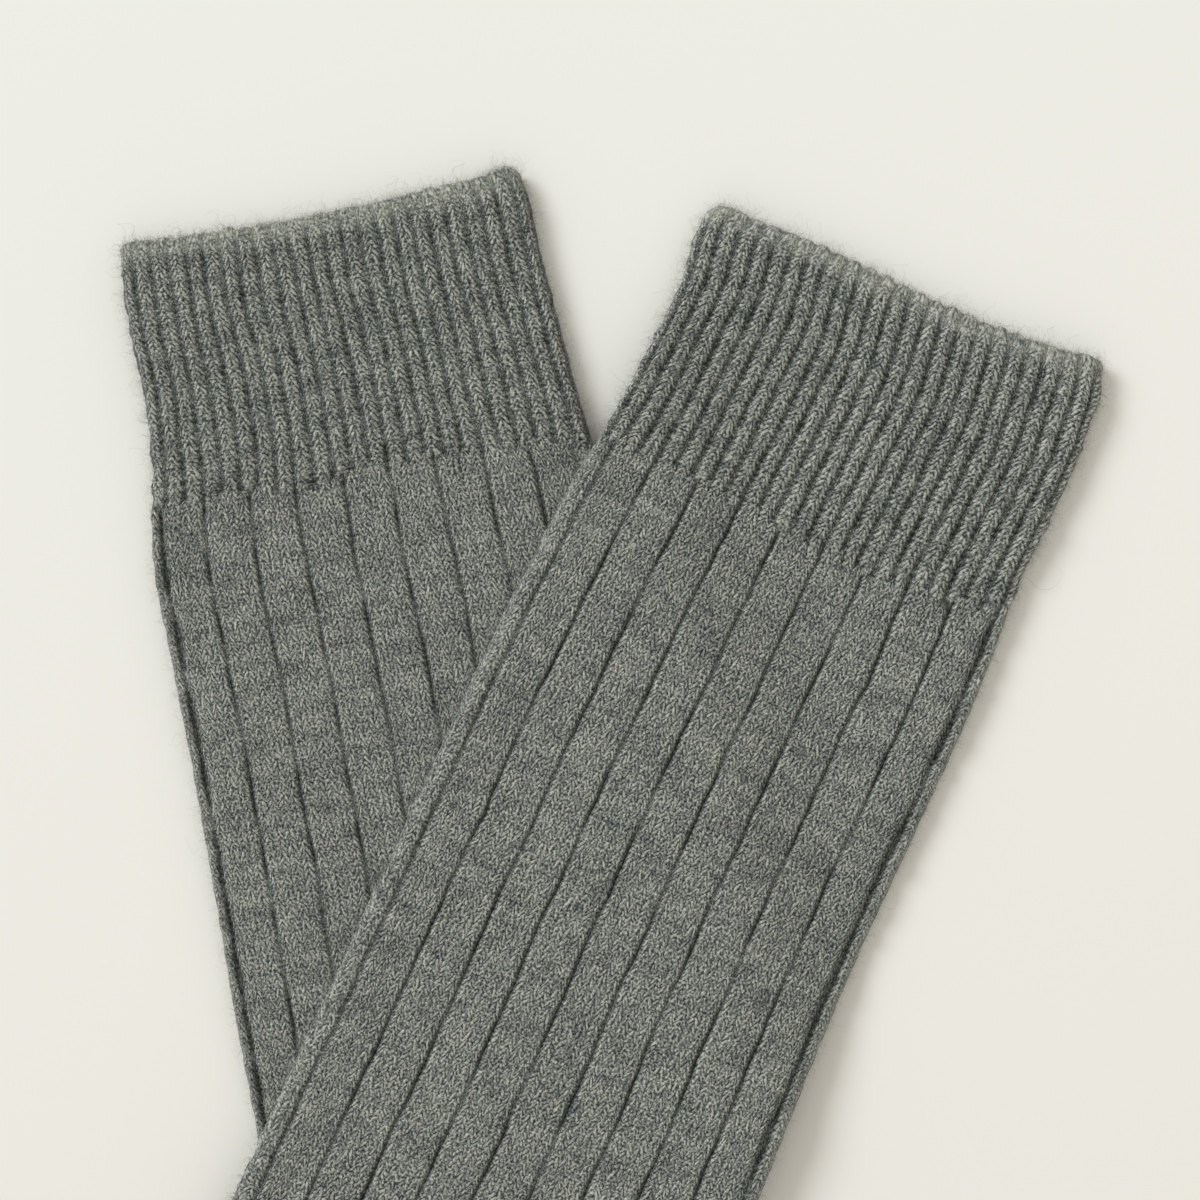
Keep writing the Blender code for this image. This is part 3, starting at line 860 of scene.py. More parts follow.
    def build(self) -> None:
        """Work out the wall: rows of the cuff, leg, turn, foot and toe, and the rolled edge."""
        cuff = even_rows(0.0, self.cuff_courses, self.cuff_rows)
        leg = even_rows(float(self.cuff_courses), self.leg_courses, self.leg_rows)[1:]
        leg_rows = self._slanted(np.concatenate([cuff, leg]), (0.0, 2.0),
                                 (self.ankle_v - 2, self.ankle_v))
        places = self.spine.place
        ends = self.spine.at_length(np.array([places["ankle"], places["foot start"]]))
        turn_at = np.linspace(*ends, self.turn_rows + 1)[1:-1, None] + np.zeros(len(self.u))
        turn_upper, turn_lower = self._turn_courses(turn_at)
        turn_rows = (turn_upper, turn_upper, turn_at, np.zeros((len(turn_at), 1)))
        foot = even_rows(self.foot_v, self.foot_courses, self.foot_rows)
        foot_rows = self._slanted(foot, (self.foot_v, self.foot_v + 2),
                                  (self.toe_v - 5, self.toe_v - 2))

        nominal, v, at, stitches = (np.vstack(rows) for rows in zip(leg_rows, turn_rows, foot_rows))
        lower = np.vstack([leg_rows[1], turn_lower, foot_rows[1]])
        points, sunk, hollow = self._outer(nominal, v, at, stitches)
        self.outer = Grid(points, v, lower, sunk, hollow, np.zeros(sunk.shape), self._nap(v))
        self.row_at = at
        self.cuff_last = self.cuff_courses * self.cuff_rows
        self.leg_last = self.cuff_last + self.leg_courses * self.leg_rows
        self.rim = self._rim(self._inner_rows(0, 1).points[0], points[0])
        log.info("%s: %d rows of %d columns", self.name, *points.shape[:2])

    def _slanted(self, rows: Array, start: tuple[float, float],
                 end: tuple[float, float]) -> tuple[Array, Array, Array, Array]:
        """Course numbers and places of mesh rows that follow the slanted legs.

        Args:
            rows: Course number of each row at the middle of its wales.
            start: Course numbers between which the rows turn from straight to slanted.
            end: And those between which they turn back.

        Returns:
            Nominal course numbers, course numbers, places along the knots, and how far each row
            follows the legs.
        """
        nominal = rows[:, None]
        fade = smooth_step(*start, nominal) * (1 - smooth_step(*end, nominal))
        nominal = nominal + np.zeros(len(self.u))
        apart = self._apart(self._knit_state(nominal)[2])
        v = np.clip(nominal + self.sizes.slant * apart * fade, nominal[0], nominal[-1])
        at = self.spine.at_length(np.interp(v, self.v_knots, self.length_knots))
        return nominal, v, at, fade

    def _turn_courses(self, at: Array) -> tuple[Array, Array]:
        """Course numbers round the ankle's bend, counted from the leg and from the foot.

        On the instep half the courses fan out evenly. On the heel half they keep their pitch,
        counted along the arc, so they meet on the heel's slanting join.

        Args:
            at: Places along the knots.

        Returns:
            Course numbers for faces below each row and for faces above it.
        """
        values = self.spine.values(at)
        width = fold_width(values)
        across, _, _, _ = self._tube(width, values[..., THICK], self.plain_share)
        angle = np.radians(values[..., TURN])
        radius = np.maximum(self.ankle_radius + width / 2 - across, self.mid_radius)
        from_leg = self.ankle_v + radius * angle / self.leg_pitch
        from_foot = self.foot_v - radius * (self.turn_angle - angle) / self.leg_pitch
        middle = int(np.argmin(np.abs(angle[:, 0] - self.turn_angle / 2)))
        row = np.arange(len(at))[:, None]
        return (np.where(row < middle, from_leg, from_foot),
                np.where(row <= middle, from_leg, from_foot))

    # Pieces.

    def _inner_rows(self, first: int, last: int) -> Grid:
        """Inner rows between two outer rows, one for every few of them."""
        rows = np.unique(np.concatenate([np.arange(first, last, self.inner_step), [last]]))
        v = self.outer.upper_v[rows]
        points = self._inner(self.row_at[rows].min(axis=1), self.sizes.mouth_flare * (rows == 0))
        plain = np.zeros(v.shape)
        # The inner wall takes the painted inside shade all over, and no painted groove shade.
        return Grid(points, v, self.outer.lower_v[rows], plain, plain, plain + 1, plain)

    def _rim(self, inner: Array, outer: Array) -> Grid:
        """Rolled edge of the mouth: half an ellipse from the inner wall over to the outer one.

        A rib's crest stands higher than the sunk wale beside it, as the wall is thicker there.

        Args:
            inner: First inner row.
            outer: First outer row.

        Returns:
            Rows of the roll, from the inside out.
        """
        k = self.sizes
        steps = (np.arange(self.rim_rows) + 1.0) / (self.rim_rows + 1)
        half = (outer - inner) / 2
        reach = np.minimum(np.linalg.norm(half, axis=1), self.rim_radius)
        uneven = self.rng.normal(0.0, k.rim_spread, k.wales)[self.wale]
        reach = reach * (1 + self.rim_swell * (1 - 0.5 * self.cuff_sunk_at) + uneven)
        fold = self.spine.values(np.zeros(1))[0]
        up = np.append(-self._down(unit(fold[INSTEP] - fold[HEEL])), 0.0)
        around, over = (wave(math.pi * steps)[:, None, None] for wave in (np.cos, np.sin))
        points = (inner + outer) / 2 - half * around + up * reach[:, None] * over
        across = np.zeros(len(self.u))
        v = (steps[:, None] - 1) * k.rim_courses + across
        # Painted inside shade over the inner half of the roll.
        inside = np.clip(1 - 2 * steps, 0, 1)[:, None] + across
        # The painted groove shade grows across the roll towards the outer wall.
        hollow = self.outer.hollow[0] * steps[:, None]
        return Grid(points, v, v, self.cuff_sunk_at + 0 * v, hollow, inside, np.ones(v.shape))

    def _nap(self, v: Array) -> Array:
        """How brushed up the wool is: at the rolled edge and along the folds, where it is worn."""
        k = self.sizes
        worn = k.fold_nap * (1 - smooth_step(*k.nap_fade, self.from_fold))
        return np.maximum(1 - smooth_step(0.3, k.rim_nap, v), worn)

    def pieces(self, wool: bpy.types.Material,
               fuzz: list[bpy.types.Object]) -> list[bpy.types.Object]:
        """The cuff, leg and foot, each a closed wall.

        Args:
            wool: The finish.
            fuzz: The loose fibres that go with the sock; not used.

        Returns:
            The three pieces.
        """
        marks = (0, self.cuff_last, self.leg_last, len(self.outer.points) - 1)
        made = []
        for name, first, end in zip(("cuff", "leg", "foot"), marks, marks[1:]):
            outer, inner = self.outer.rows(first, end + 1), self._inner_rows(first, end)
            if name == "cuff":
                parts, cut = [outer, inner.backwards(), self.rim], [end - first]
            elif name == "leg":
                parts, cut = [outer, inner.backwards()], [end - first, -1]
            else:
                parts, cut = self._toe(outer, inner), [len(inner.points) - 2]
            closed = name != "foot"
            piece = self._piece(f"{self.name}_{name}", Grid.stacked(parts), closed, cut, wool)
            made.append(piece)
        return made

    def _toe(self, outer: Grid, inner: Grid) -> list[Grid]:
        """Rows of the foot from the inside of its toe round to the outside.

        The tip closes along a quarter of an ellipse, and bulges by a parabola across the toe.

        Args:
            outer: Outer rows of the foot.
            inner: Its inner rows.

        Returns:
            The inner rows, the outer ones and those of the tip.
        """
        k = self.sizes
        end = outer.rows(-1)
        middle = end.points.mean(axis=1, keepdims=True)
        ahead = unit(middle[0, 0] - outer.points[-9].mean(axis=0))
        aside = np.linalg.norm((end.points - middle)[..., :2], axis=2, keepdims=True)
        bulge = k.toe_reach + k.toe_bulge * (1 - (aside / aside.max()) ** 2)
        tips = []
        for t in (0.4, 0.7, 0.9, 0.98):
            tip = end.points.copy()
            tip[..., 2] += (middle[..., 2] - tip[..., 2]) * (1 - math.sqrt(1 - t * t))
            tips.append(replace(end, points=tip + ahead * t * bulge,
                                upper_v=end.upper_v + t, lower_v=end.lower_v + t))
        return [inner.rows(0, -1).backwards(), outer, *tips]

    def _piece(self, name: str, grid: Grid, closed: bool, cut: list[int],
               wool: bpy.types.Material) -> bpy.types.Object:
        """One piece from its rows.

        Args:
            name: Name of the piece.
            grid: Its rows, all round its wall.
            closed: Whether the last row joins the first one, or both ends are capped by fans.
            cut: Rows that start a cut end of the wall.
            wool: The finish.

        Returns:
            The piece.
        """
        rows, columns = grid.points.shape[:2]
        points = grid.points.reshape(-1, 3)
        number = np.arange(rows * columns).reshape(rows, columns)
        kept = rows if closed else rows - 1
        u = np.append(self.u, self.sizes.wales)
        across = np.stack([u[:-1], u[1:], u[1:], u[:-1]], axis=-1)
        along = quads(grid.upper_v, np.roll(grid.lower_v, -1, axis=0))[:kept]
        stitches = np.stack(np.broadcast_arrays(across, along), axis=-1)
        blocks = [quads(number, np.roll(number, -1, axis=0))[:kept].reshape(-1, 4)]
        maps = [stitches.reshape(-1, 2)]
        if not closed:
            for loop, v in ((number[0, ::-1], grid.upper_v[0, ::-1]), (number[-1], grid.lower_v[-1])):
                middle = np.full(columns, len(points))
                points = np.vstack([points, points[loop].mean(axis=0)])
                blocks.append(np.stack([middle, loop, np.roll(loop, -1)], axis=-1))
                maps.append(np.stack([np.repeat(self.u, 3), np.repeat(v, 3)], axis=-1))
        if signed_volume(points, blocks) < 0:
            maps = [m.reshape(*block.shape, 2)[:, ::-1].reshape(-1, 2)
                    for m, block in zip(maps, blocks)]
            blocks = [block[:, ::-1] for block in blocks]
        mesh = new_mesh(name, points, blocks)
        stitches = np.vstack(maps) + np.array([0.0, self.map_step * self.seed])
        layer = mesh.uv_layers.new(name="stitches")
        layer.data.foreach_set("uv", stitches.astype(np.float32).ravel())
        for label in LABELS:
            values = np.zeros(len(points), dtype=np.float32)
            values[:grid.sunk.size] = getattr(grid, label).ravel()
            store(mesh, label, "FLOAT", "POINT", values)
        self._sharpen(mesh, number, cut)
        piece = place_mesh(name, mesh, wool)
        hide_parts(self.name)
        return piece

    @staticmethod
    def _sharpen(mesh: bpy.types.Mesh, number: Array, cut: list[int]) -> None:
        """Mark both rims of each cut end as sharp.

        Args:
            mesh: The piece's mesh.
            number: Vertex numbers, row by row.
            cut: Rows that start a cut end.
        """
        marked = np.zeros(len(mesh.vertices), dtype=int)
        for label, row in enumerate(cut):
            marked[number[row]] = 2 * label + 1
            marked[number[row + 1]] = 2 * label + 2
        ends = np.empty(len(mesh.edges) * 2, dtype=np.int32)
        mesh.edges.foreach_get("vertices", ends)
        first, second = marked[ends.reshape(-1, 2)].T
        store(mesh, "sharp_edge", "BOOLEAN", "EDGE", (first == second) & (first > 0))


def operator(operation: str) -> Callable[..., "Value"]:
    """A method that adds a Math node on a shader value and others."""

    def method(self: "Value", *others: Any) -> "Value":
        """The node's result."""
        node = self.graph.node("ShaderNodeMath", {"operation": operation},
                               dict(enumerate((self, *others))))
        return Value(self.graph, node.outputs[0])

    return method


class Value:
    """A shader value, whose operators add Math nodes."""

    __add__ = __radd__ = operator("ADD")
    __mul__ = __rmul__ = operator("MULTIPLY")
    __sub__ = operator("SUBTRACT")
    __truediv__ = operator("DIVIDE")
    __pow__ = operator("POWER")
    floor = operator("FLOOR")
    fraction = operator("FRACT")
    size = operator("ABSOLUTE")

    def __init__(self, graph: "Graph", socket: bpy.types.NodeSocket) -> None:
        """Wrap a socket of a graph."""
        self.graph = graph
        self.socket = socket

    def __rsub__(self, other: float) -> "Value":
        """Difference from a number."""
        return (self * -1.0) + other

    def step(self, low: float, high: float) -> "Value":
        """Cubic step from 0 at low to 1 at high."""
        node = self.graph.node("ShaderNodeMapRange", {"interpolation_type": "SMOOTHSTEP"},
                               {"Value": self, "From Min": low, "From Max": high})
        return Value(self.graph, node.outputs[0])


class Graph:
    """A material's node tree."""

    def __init__(self, name: str, colour: Optional[Colour] = None) -> None:
        """Start a material with one Principled shader, and a plain colour for simple views."""
        self.material = bpy.data.materials.new(name)
        self.material.use_nodes = True
        if colour is not None:
            self.material.diffuse_color = colour
        self.nodes = self.material.node_tree.nodes
        self.links = self.material.node_tree.links
        self.shader = self.nodes["Principled BSDF"]

    def node(self, kind: str, settings: dict[str, Any], inputs: dict[Any, Any]) -> bpy.types.Node:
        """Add a node.

        Args:
            kind: The node's type.
            settings: Its properties, set first.
            inputs: Values or links of its sockets, by name or number.

        Returns:
            The node.
        """
        node = self.nodes.new(kind)
        for name, value in settings.items():
            setattr(node, name, value)
        self.feed(node, inputs)
        return node

    def feed(self, node: bpy.types.Node, inputs: dict[Any, Any]) -> None:
        """Link values or sockets to a node's inputs, or set plain numbers and colours there."""
        for key, value in inputs.items():
            if isinstance(value, Value):
                value = value.socket
            if isinstance(value, bpy.types.NodeSocket):
                self.links.new(value, node.inputs[key])
            else:
                node.inputs[key].default_value = value

    def joined(self, x: Any, y: Any = 0.0, z: Any = 0.0) -> bpy.types.NodeSocket:
        """A vector from three values."""
        return self.node("ShaderNodeCombineXYZ", {}, {0: x, 1: y, 2: z}).outputs[0]

    def split(self, vector: bpy.types.NodeSocket) -> tuple[Value, Value]:
        """The first two values of a vector."""
        node = self.node("ShaderNodeSeparateXYZ", {}, {0: vector})
        return Value(self, node.outputs[0]), Value(self, node.outputs[1])

    def noise(self, at: bpy.types.NodeSocket, scale: float, detail: float = 0.0) -> Value:
        """Smooth noise from 0 to 1 at a vector."""
        node = self.node("ShaderNodeTexNoise", {"noise_dimensions": "3D"},
                         {"Vector": at, "Scale": scale, "Detail": detail, "Roughness": 0.55})
        return Value(self, node.outputs["Fac"])

    def chance(self, x: Any, y: Any) -> Value:
        """A random number from 0 to 1 for each pair of whole numbers."""
        node = self.node("ShaderNodeTexWhiteNoise", {"noise_dimensions": "2D"},
                         {"Vector": self.joined(x, y)})
        return Value(self, node.outputs["Value"])

    def blend(self, share: Any, low: Any, high: Any, mode: str = "MIX") -> bpy.types.NodeSocket:
        """Two colours mixed by a share."""
        settings = {"data_type": "RGBA", "blend_type": mode, "clamp_factor": True}
        return self.node("ShaderNodeMix", settings, {0: share, 6: low, 7: high}).outputs[2]

    def attribute(self, name: str) -> Value:
        """A number stored on the mesh."""
        node = self.node("ShaderNodeAttribute", {"attribute_name": name}, {})
        return Value(self, node.outputs["Fac"])


@dataclass(frozen=True)
class HeatherWool:
    """Heather grey wool yarn: dark and light fibres spun together, knitted, with a soft nap."""

    name: str = "heather_wool"
    dark: Colour = (0.010, 0.025, 0.046, 1.0)
    middle: Colour = (0.176, 0.184, 0.163, 1.0)
    light: Colour = (0.46, 0.46, 0.385, 1.0)
    fleck: Colour = (0.30, 0.15, 0.07, 1.0)
    level: float = 0.61            # usual tone, from dark 0 to light 1
    strand_tone: float = 1.0       # shares of each kind of unevenness in the tone
    hair_tone: float = 0.6
    speck_tone: float = 1.5
    stitch_tone: float = 0.16
    band_tone: float = 0.26
    cloud_tone: float = 0.34
    streak_tone: float = 0.34
    nap_tone: float = 0.10
    gap_shade: float = 0.25        # brightness of the painted shade at the bottom of the gap between two yarns
    hollow_shade: float = 0.42     # and of the painted shade in a groove between ribs
    # brightness of the painted shade on the inner wall
    inside_shade: float = 0.6
    red_power: float = 1.07        # of the painted shade: above 1 takes red out of the gaps
    blue_power: float = 0.97       # and below 1 leaves blue in them, so the painted shade is cool
    unevenness: float = 1.5        # of the courses from leg to leg of the stitches
    slant: float = KnitSizes.slant
    roughness: float = 0.92
    specular: float = 0.2
    sheen: float = 0.15
    sheen_roughness: float = 0.5
    relief: float = 0.22           # of the yarns and fibres, in millimetres
    relief_strength: float = 0.8

    def material(self) -> bpy.types.Material:
        """Build the finish.

        The stitch map gives wales and courses. Lines of equal phase, course minus slant times
        the distance from the wale's middle, run along the stitch's legs, so noise stretched
        along them is the yarn's fibres.

        Returns:
            The material.
        """
        g = Graph(self.name, self.middle)
        u, v = g.split(g.node("ShaderNodeUVMap", {"uv_map": "stitches"}, {}).outputs[0])
        sunk, hollow, inside, nap = (g.attribute(label) for label in LABELS)

        def spots(per_wale: float, per_course: float, place: float, detail: float = 1.0) -> Value:
            """Noise on the stitch map, at a place of its own in the noise."""
            return g.noise(g.joined(u * per_wale, v * per_course, place), 1.0, detail)

        from_middle = (u.fraction() * 2.0 - 1.0).size()
        apart = from_middle + (1.0 - from_middle) * sunk
        leg = (u * 2.0).floor()
        uneven = g.noise(g.joined(leg * 7.31, v * 0.45, 31.0), 1.0) - 0.5
        phase = v - apart * self.slant + uneven * self.unevenness
        course, part = phase.floor(), phase.fraction()
        chance = g.chance(leg, course)

        across = 1.0 - (part * 2.0 - 1.0) ** 2.0
        ends = 1.0 - (apart * 2.0 - 1.0) ** 2.0
        yarn = across * (ends * 0.75 + 0.25)

        offset = chance * 61.0
        strands = g.noise(g.joined(phase * 1.3, from_middle * 2.7, offset), 1.0, 1.0) - 0.5
        hairs = g.noise(g.joined(phase * 3.0, from_middle * 4.2, offset), 1.0, 1.0) - 0.5
        specks = spots(4.6, 3.1, 17.0) - 0.5
        bands = spots(0.10, 0.16, 3.0, 2.0) - 0.5
        clouds = spots(0.30, 0.34, 9.0) - 0.5
        streaks = spots(0.16, 0.85, 23.0) - 0.5
        tone = (self.level + strands * self.strand_tone + hairs * self.hair_tone
                + specks * self.speck_tone + (chance - 0.5) * self.stitch_tone
                + bands * self.band_tone + clouds * self.cloud_tone
                + streaks * self.streak_tone + nap * self.nap_tone)
        ramp = g.node("ShaderNodeValToRGB", {}, {0: tone})
        stops = ramp.color_ramp.elements
        stops[0].position, stops[0].color = 0.02, self.dark
        stops[1].position, stops[1].color = 1.0, self.light
        stops.new(0.5).color = self.middle
        rare = spots(1.5, 1.1, 80.0, 0.0).step(0.80, 0.84)
        coloured = g.blend(rare * (hairs + 0.5).step(0.5, 0.62), ramp.outputs[0], self.fleck)

        # Painted shade in the gaps between yarns: fill is 1 on a yarn and 0 in a gap, lifted where fuzz
        # or nap fills it.
        fluff = spots(0.8, 0.62, 41.0).step(0.50, 0.82)
        fill = (yarn * 0.85 + specks * 1.35).step(-0.02, 0.70)
        fill = fill + (1.0 - fill) * (fluff * 0.4 + nap * 0.5)
        shade = self.gap_shade + fill * (1.0 - self.gap_shade)
        # Painted shade in the grooves between ribs, broken along them, less where a yarn crosses and
        # where the wool is napped.
        dashes = spots(0.45, 0.5, 55.0).step(0.36, 0.62)
        deep = hollow * hollow * (1.0 - nap * 0.6) * (1.0 - across * 0.5) * (dashes * 0.5 + 0.68)
        shade = shade * (1.0 - deep * (1.0 - self.hollow_shade))
        # Painted shade on the inner wall.
        shade = shade * (1.0 - inside * (1.0 - self.inside_shade))
        # All the painted shade as one colour, bluer where it is darker.
        grey = g.joined(shade ** self.red_power, shade, shade ** self.blue_power)

        relief = yarn * 0.7 + hairs * 0.4 + strands * 0.4 + specks * 0.4
        bump = g.node("ShaderNodeBump", {}, {"Height": relief, "Strength": self.relief_strength,
                                             "Distance": self.relief * MM})
        g.feed(g.shader, {"Base Color": g.blend(1.0, coloured, grey, "MULTIPLY"),
                          "Normal": bump.outputs[0], "Roughness": self.roughness,
                          "Specular IOR Level": self.specular, "Sheen Weight": self.sheen,
                          "Sheen Roughness": self.sheen_roughness})
        return g.material


@dataclass(frozen=True)
class FibreWool:
    """Single wool fibres that stand out of the yarn."""

    name: str = "loose_wool_fibre"
    dark: Colour = (0.22, 0.22, 0.20, 1.0)
    light: Colour = (0.60, 0.58, 0.52, 1.0)
    roughness: float = 0.7
    specular: float = 0.3

    def material(self) -> bpy.types.Material:
        """Build the finish: each fibre takes its own tone between dark and light."""
        g = Graph(self.name, self.dark)
        colour = g.blend(g.attribute("tone"), self.dark, self.light)
        g.feed(g.shader, {"Base Color": colour, "Roughness": self.roughness,
                          "Specular IOR Level": self.specular})
        return g.material


@dataclass(frozen=True)
class Tuft:
    """One kind of loose fibre.

    on_rim, on_folds, on_top: how many grow there. fold_reach: how far from a fold they grow, as
    a share of the girth. length: the usual one. lean: how unevenly they stand. curl: side steps
    as a share of the length. level: share of their rise that is kept.
    """

    name: str
    on_rim: int
    on_folds: int
    on_top: int
    fold_reach: float
    length: float
    longest: float
    radius: float
    knots: int
    lean: float
    curl: float
    level: float


TUFTS = (
    Tuft("fuzz", 2100, 1500, 900, 0.018, 1.15, 4.0, 0.020, 3, 0.7, 0.30, 1.0),
    Tuft("halo", 400, 2700, 0, 0.005, 1.7, 4.0, 0.024, 4, 0.5, 0.32, 0.25),
    Tuft("wisps", 130, 110, 20, 0.006, 3.3, 6.5, 0.020, 9, 0.5, 0.30, 0.3),
)


@dataclass
class LooseFibres:
    """The loose fibres of one sock: curly, and rooted in its surface."""

    sock: Sock
    tuft: Tuft
    floor: float = 0.05
    on_foot: float = 0.3          # density on the foot against the cuff and the leg
    off_fold: float = 0.018       # share of the girth where the upper side's fibres start
    spread: float = 0.5           # of the lengths, as a logarithm
    shortest: float = 0.5
    rooted: float = 0.15          # how deep a fibre goes in
    turns: tuple[float, float] = (1.5, 4.5)   # of the curl, least and most
    upper_point: tuple[int, int] = (40, 90)   # row and column of a point on the upper side

    def roots(self) -> tuple[Array, Array]:
        """Points on the rolled edge, the folds and the upper side, with normals outwards.

        Returns:
            Root points and unit normals.
        """
        sock, rng, tuft = self.sock, self.sock.rng, self.tuft
        grid = sock.outer.points
        round_it = np.roll(grid, -1, axis=1) - np.roll(grid, 1, axis=1)
        normal = unit(np.cross(round_it, np.gradient(grid, axis=0)), TINY)
        if normal[self.upper_point][2] < 0:
            normal = -normal
        folds = np.nonzero(sock.from_fold < tuft.fold_reach)[0]
        tops = np.nonzero(~sock.under & (sock.from_fold > self.off_fold))[0]
        weight = np.where(np.arange(len(grid) - 1) < sock.leg_last, 1.0, self.on_foot)
        weight /= weight.sum()
        picks = [(rng.choice(len(weight), count, p=weight), rng.choice(columns, count))
                 for columns, count in ((folds, tuft.on_folds), (tops, tuft.on_top))]
        points, normals = ([of[pick] for pick in picks] for of in (grid, normal))
        rim = sock.rim.points
        loop = rng.integers(1, len(rim), tuft.on_rim)
        points.append(rim[loop, rng.integers(0, rim.shape[1], tuft.on_rim)])
        outward = unit(rim[2].mean(axis=0) - grid[3].mean(axis=0))
        normals.append(np.repeat(outward[None, :], tuft.on_rim, axis=0))
        return np.vstack(points), np.vstack(normals)

    def build(self, finish: bpy.types.Material) -> bpy.types.Object:
        """Grow the fibres.

        A fibre runs from its root along its normal, leaning at random, and curls: its side
        steps are sines that grow with the distance from the root.

        Args:
            finish: Their finish.

        Returns:
            The piece.
        """
        rng, tuft = self.sock.rng, self.tuft
        root, normal = self.roots()
        count = len(root)
        length = rng.lognormal(math.log(tuft.length), self.spread, count)
        length = np.clip(length, self.shortest, tuft.longest)
        heading = normal + rng.normal(0.0, tuft.lean, (count, 3))
        heading[:, 2] *= tuft.level
        heading = unit(heading)
        side = unit(np.cross(heading, rng.normal(size=(count, 3))))
        other = np.cross(heading, side)
        t = np.linspace(0.0, 1.0, tuft.knots)[None, :, None]
        phase = rng.uniform(0, 2 * math.pi, (count, 1, 1))
        turns = rng.uniform(*self.turns, (count, 1, 1))
        swing = tuft.curl * length[:, None, None] * t
        path = (root[:, None] - self.rooted * heading[:, None]
                + heading[:, None] * length[:, None, None] * t * (1 - 0.25 * t)
                + side[:, None] * swing * np.sin(turns * t * 2 + phase)
                + other[:, None] * swing * np.cos(turns * t * 2.3 + phase))
        path[..., 2] = np.maximum(path[..., 2], self.floor)
        return fibre_piece(f"{self.sock.name}_{tuft.name}", path, tuft.radius,
                           rng.uniform(0, 1, count) ** 1.5, finish)


@dataclass(frozen=True)
class StrayHair:
    """A single long fibre in a place of its own.

    points: plan points along it, in layout millimetres. height: above the floor. tone: from
    dark 0 to light 1.
    """

    name: str
    points: tuple[tuple[float, float], ...]
    height: float
    tone: float
    radius: float = 0.022
    steps: int = 8                # between two points

    def build(self, shift: Array, finish: bpy.types.Material) -> bpy.types.Object:
        """Lay the hair along a smooth curve: a cubic through its points, one bend at each.

        Args:
            shift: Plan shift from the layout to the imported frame.
            finish: Its finish.

        Returns:
            The piece.
        """
        knots = np.array(self.points)
        last = len(knots) - 1
        at = np.linspace(0, last, self.steps * last + 1)
        i = np.clip(at.astype(int), 0, last - 1)
        plan = hermite((at - i)[:, None], 1.0, knots, np.gradient(knots, axis=0), i)
        path = np.column_stack([plan + shift, np.full(len(plan), self.height)])[None]
        return fibre_piece(self.name, path, self.radius, np.array([self.tone]), finish)


FRONT_HAIRS = (
    StrayHair("hooked_hair", ((83.6, 4.9), (85.4, 4.6), (87.9, 2.5), (90.4, 2.2), (92.4, 4.0),
                              (92.8, 5.6), (91.2, 7.0)), 0.6, 0.1),
    StrayHair("short_hair", ((80.8, -1.0), (82.6, -2.2), (84.2, -2.0)), 0.5, 0.1),
    StrayHair("edge_hair", ((77.6, -9.0), (79.3, -11.0), (80.0, -14.2), (79.2, -16.0)), 0.4, 0.2),
)
BACK_HAIRS = (
    StrayHair("pale_hair", ((-88.6, 49.4), (-86.8, 51.4), (-84.8, 54.0)), 5.45, 1.0),
)


def fibre_piece(name: str, path: Array, radius: float, tone: Array,
                finish: bpy.types.Material) -> bpy.types.Object:
    """Thin closed three-sided strands along paths, tapering to their tips.

    Args:
        name: Name of the piece.
        path: Points of each strand: strands, knots, 3.
        radius: Radius at the root.
        tone: Tone of each strand, from dark 0 to light 1.
        finish: Their finish.

    Returns:
        The piece.
    """
    count, knots = path.shape[:2]
    along = unit(np.gradient(path, axis=1), TINY)
    side = unit(np.cross(along, np.array(ASKEW)), TINY)
    other = np.cross(along, side)
    thin = radius * np.linspace(1.0, TIP, knots)[None, :, None]
    points = np.stack([path + thin * (math.cos(a) * side + math.sin(a) * other)
                       for a in (0.0, 2 * math.pi / 3, 4 * math.pi / 3)], axis=2).reshape(-1, 3)
    number = np.arange(count * knots * 3).reshape(count, knots, 3)
    blocks = [quads(number[:, :-1], number[:, 1:]).reshape(-1, 4), number[:, 0, ::-1],
              number[:, -1]]
    if signed_volume(points, blocks) < 0:
        blocks = [block[:, ::-1] for block in blocks]
    mesh = new_mesh(name, points, blocks)
    store(mesh, "tone", "FLOAT", "POINT", np.repeat(tone, knots * 3).astype(np.float32))
    return place_mesh(name, mesh, finish)


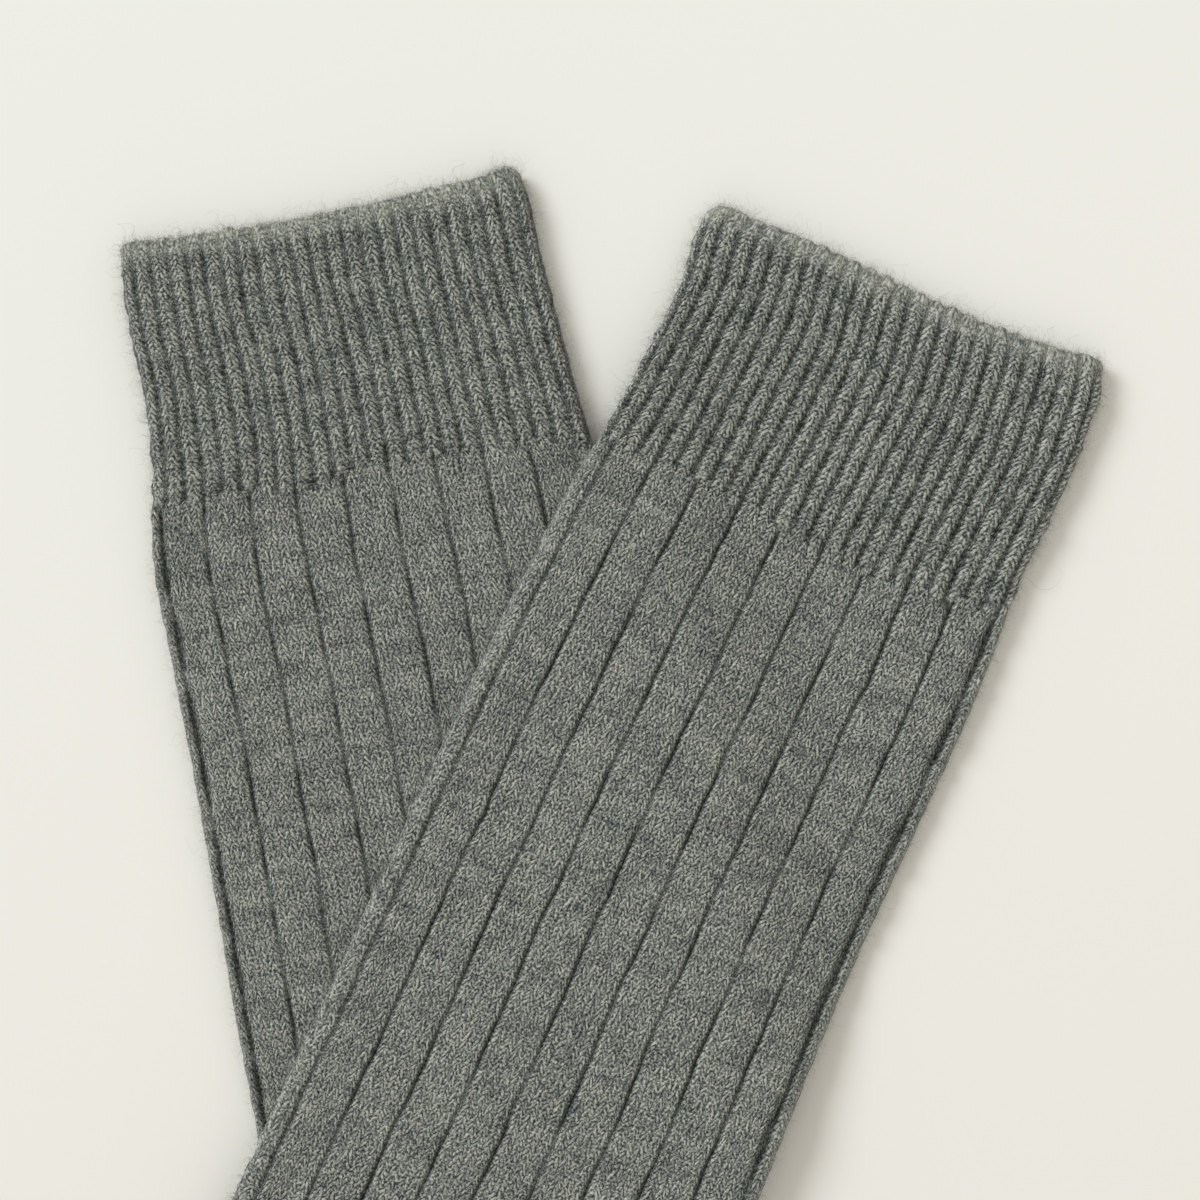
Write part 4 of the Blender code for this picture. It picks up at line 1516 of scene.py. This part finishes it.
@dataclass(frozen=True)
class Studio:
    """Pale floor, soft light from the upper left and a camera straight above the cuffs."""

    middle: Array                   # of the picture, in metres
    picture: float = 0.240          # side of the square that the picture shows
    height: float = 0.70
    cloth_height: float = 0.003
    floor_side: float = 4.0
    floor_colour: Colour = (0.806, 0.799, 0.745, 1.0)   # painted light: colour of the floor at the lit corner of the picture
    far_colour: Colour = (0.779, 0.755, 0.692, 1.0)     # and its painted shade at the opposite one
    floor_roughness: float = 0.9
    floor_specular: float = 0.1
    key_power: float = 2.1
    key_spread: float = 26.0        # of the light, in degrees
    key_heading: float = 143.0      # of the light, anticlockwise from +X
    key_elevation: float = 34.0
    key_colour: tuple[float, float, float] = (0.971, 1.03, 1.10)
    sky: float = 0.70
    sky_colour: Colour = (1.0, 0.97, 0.925, 1.0)

    def build(self) -> None:
        """Make the floor, the lights and the camera."""
        self._floor()
        self._light()
        self._camera()

    def _floor(self) -> None:
        """A level sheet of matt pale paper."""
        h = self.floor_side / 2
        mesh = bpy.data.meshes.new("floor")
        corners = [(x + self.middle[0], y + self.middle[1], 0.0)
                   for x, y in ((-h, -h), (h, -h), (h, h), (-h, h))]
        mesh.from_pydata(corners, [], [(0, 1, 2, 3)])
        g = Graph("pale_paper")
        at = g.node("ShaderNodeTexCoord", {}, {}).outputs["Object"]
        x, y = (value - place for value, place in zip(g.split(at), self.middle))
        grain = g.noise(at, 900.0, 2.0) * 0.05 - 0.025
        # Painted falloff of the light across the floor: 0 at the upper left of the picture, 1 at the
        # lower right, with the paper's grain.
        far = (x * 0.3 - y * 0.7) / self.picture + 0.5 + grain
        g.feed(g.shader, {"Base Color": g.blend(far, self.floor_colour, self.far_colour),
                          "Roughness": self.floor_roughness,
                          "Specular IOR Level": self.floor_specular})
        mesh.materials.append(g.material)
        put("floor", mesh)

    def _light(self) -> None:
        """One broad far light from the upper left, as a sun with a wide disc, and an even sky."""
        lamp = bpy.data.lights.new("key_light", "SUN")
        lamp.energy, lamp.angle = self.key_power, math.radians(self.key_spread)
        lamp.color = self.key_colour
        heading, height = math.radians(self.key_heading), math.radians(self.key_elevation)
        from_key = Vector((math.cos(heading) * math.cos(height),
                           math.sin(heading) * math.cos(height), math.sin(height)))
        key = put("key_light", lamp)
        key.location = Vector((self.middle[0], self.middle[1], 0.0)) + from_key
        key.rotation_euler = from_key.to_track_quat("Z", "Y").to_euler()
        world = bpy.data.worlds.new("sky")
        world.use_nodes = True
        backdrop = world.node_tree.nodes["Background"]
        backdrop.inputs[0].default_value = self.sky_colour
        backdrop.inputs[1].default_value = self.sky
        bpy.context.scene.world = world

    def _camera(self) -> None:
        """A camera that looks straight down, with the picture's top towards +Y."""
        lens = bpy.data.cameras.new("camera")
        lens.lens = lens.sensor_width * self.height / self.picture
        lens.clip_end = 10.0
        camera = put("camera", lens)
        camera.location = (self.middle[0], self.middle[1], self.height + self.cloth_height)
        bpy.context.scene.camera = camera
        bpy.context.scene.view_settings.view_transform = "Standard"


def layout_shift(socks: list[Sock]) -> Array:
    """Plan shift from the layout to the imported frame, found from both boxes' middles.

    Args:
        socks: The socks, laid out.

    Returns:
        The shift, in millimetres.
    """
    outline = np.vstack([sock.reach_in_plan() for sock in socks])
    own = (outline.min(axis=0) + outline.max(axis=0)) / 2
    low, high = np.array(CAD_BOX[0][:2]), np.array(CAD_BOX[1][:2])
    return (low + high) / 2 / MM - own


def main() -> None:
    """Build the pair, its fuzz and the studio."""
    logging.basicConfig(level=logging.INFO, format="%(name)s: %(message)s")
    back = Sock("back_sock", BACK_LEG, Toes.RIGHT, 0.58, 0, 1, ("floor",), inner_step=24)
    front = Sock("front_sock", FRONT_LEG, Toes.LEFT, 0.34, 1, 2,
                 ("floor", "back_sock_leg", "back_sock_foot"), lies_over=back, rim_swell=0.8)
    shift = layout_shift([back, front])
    log.info("layout shift %s mm", shift)
    wool, fibre = HeatherWool().material(), FibreWool().material()
    for sock, hairs in ((back, BACK_HAIRS), (front, FRONT_HAIRS)):
        sock.shift = shift
        sock.build()
        fuzz = [LooseFibres(sock, tuft).build(fibre) for tuft in TUFTS]
        fuzz += [hair.build(shift, fibre) for hair in hairs]
        for piece in (*fuzz, *sock.pieces(wool, fuzz)):
            log.info("%s: %d faces", piece.name, len(piece.data.polygons))
    Studio(shift * MM).build()


if __name__ == "__main__":
    main()
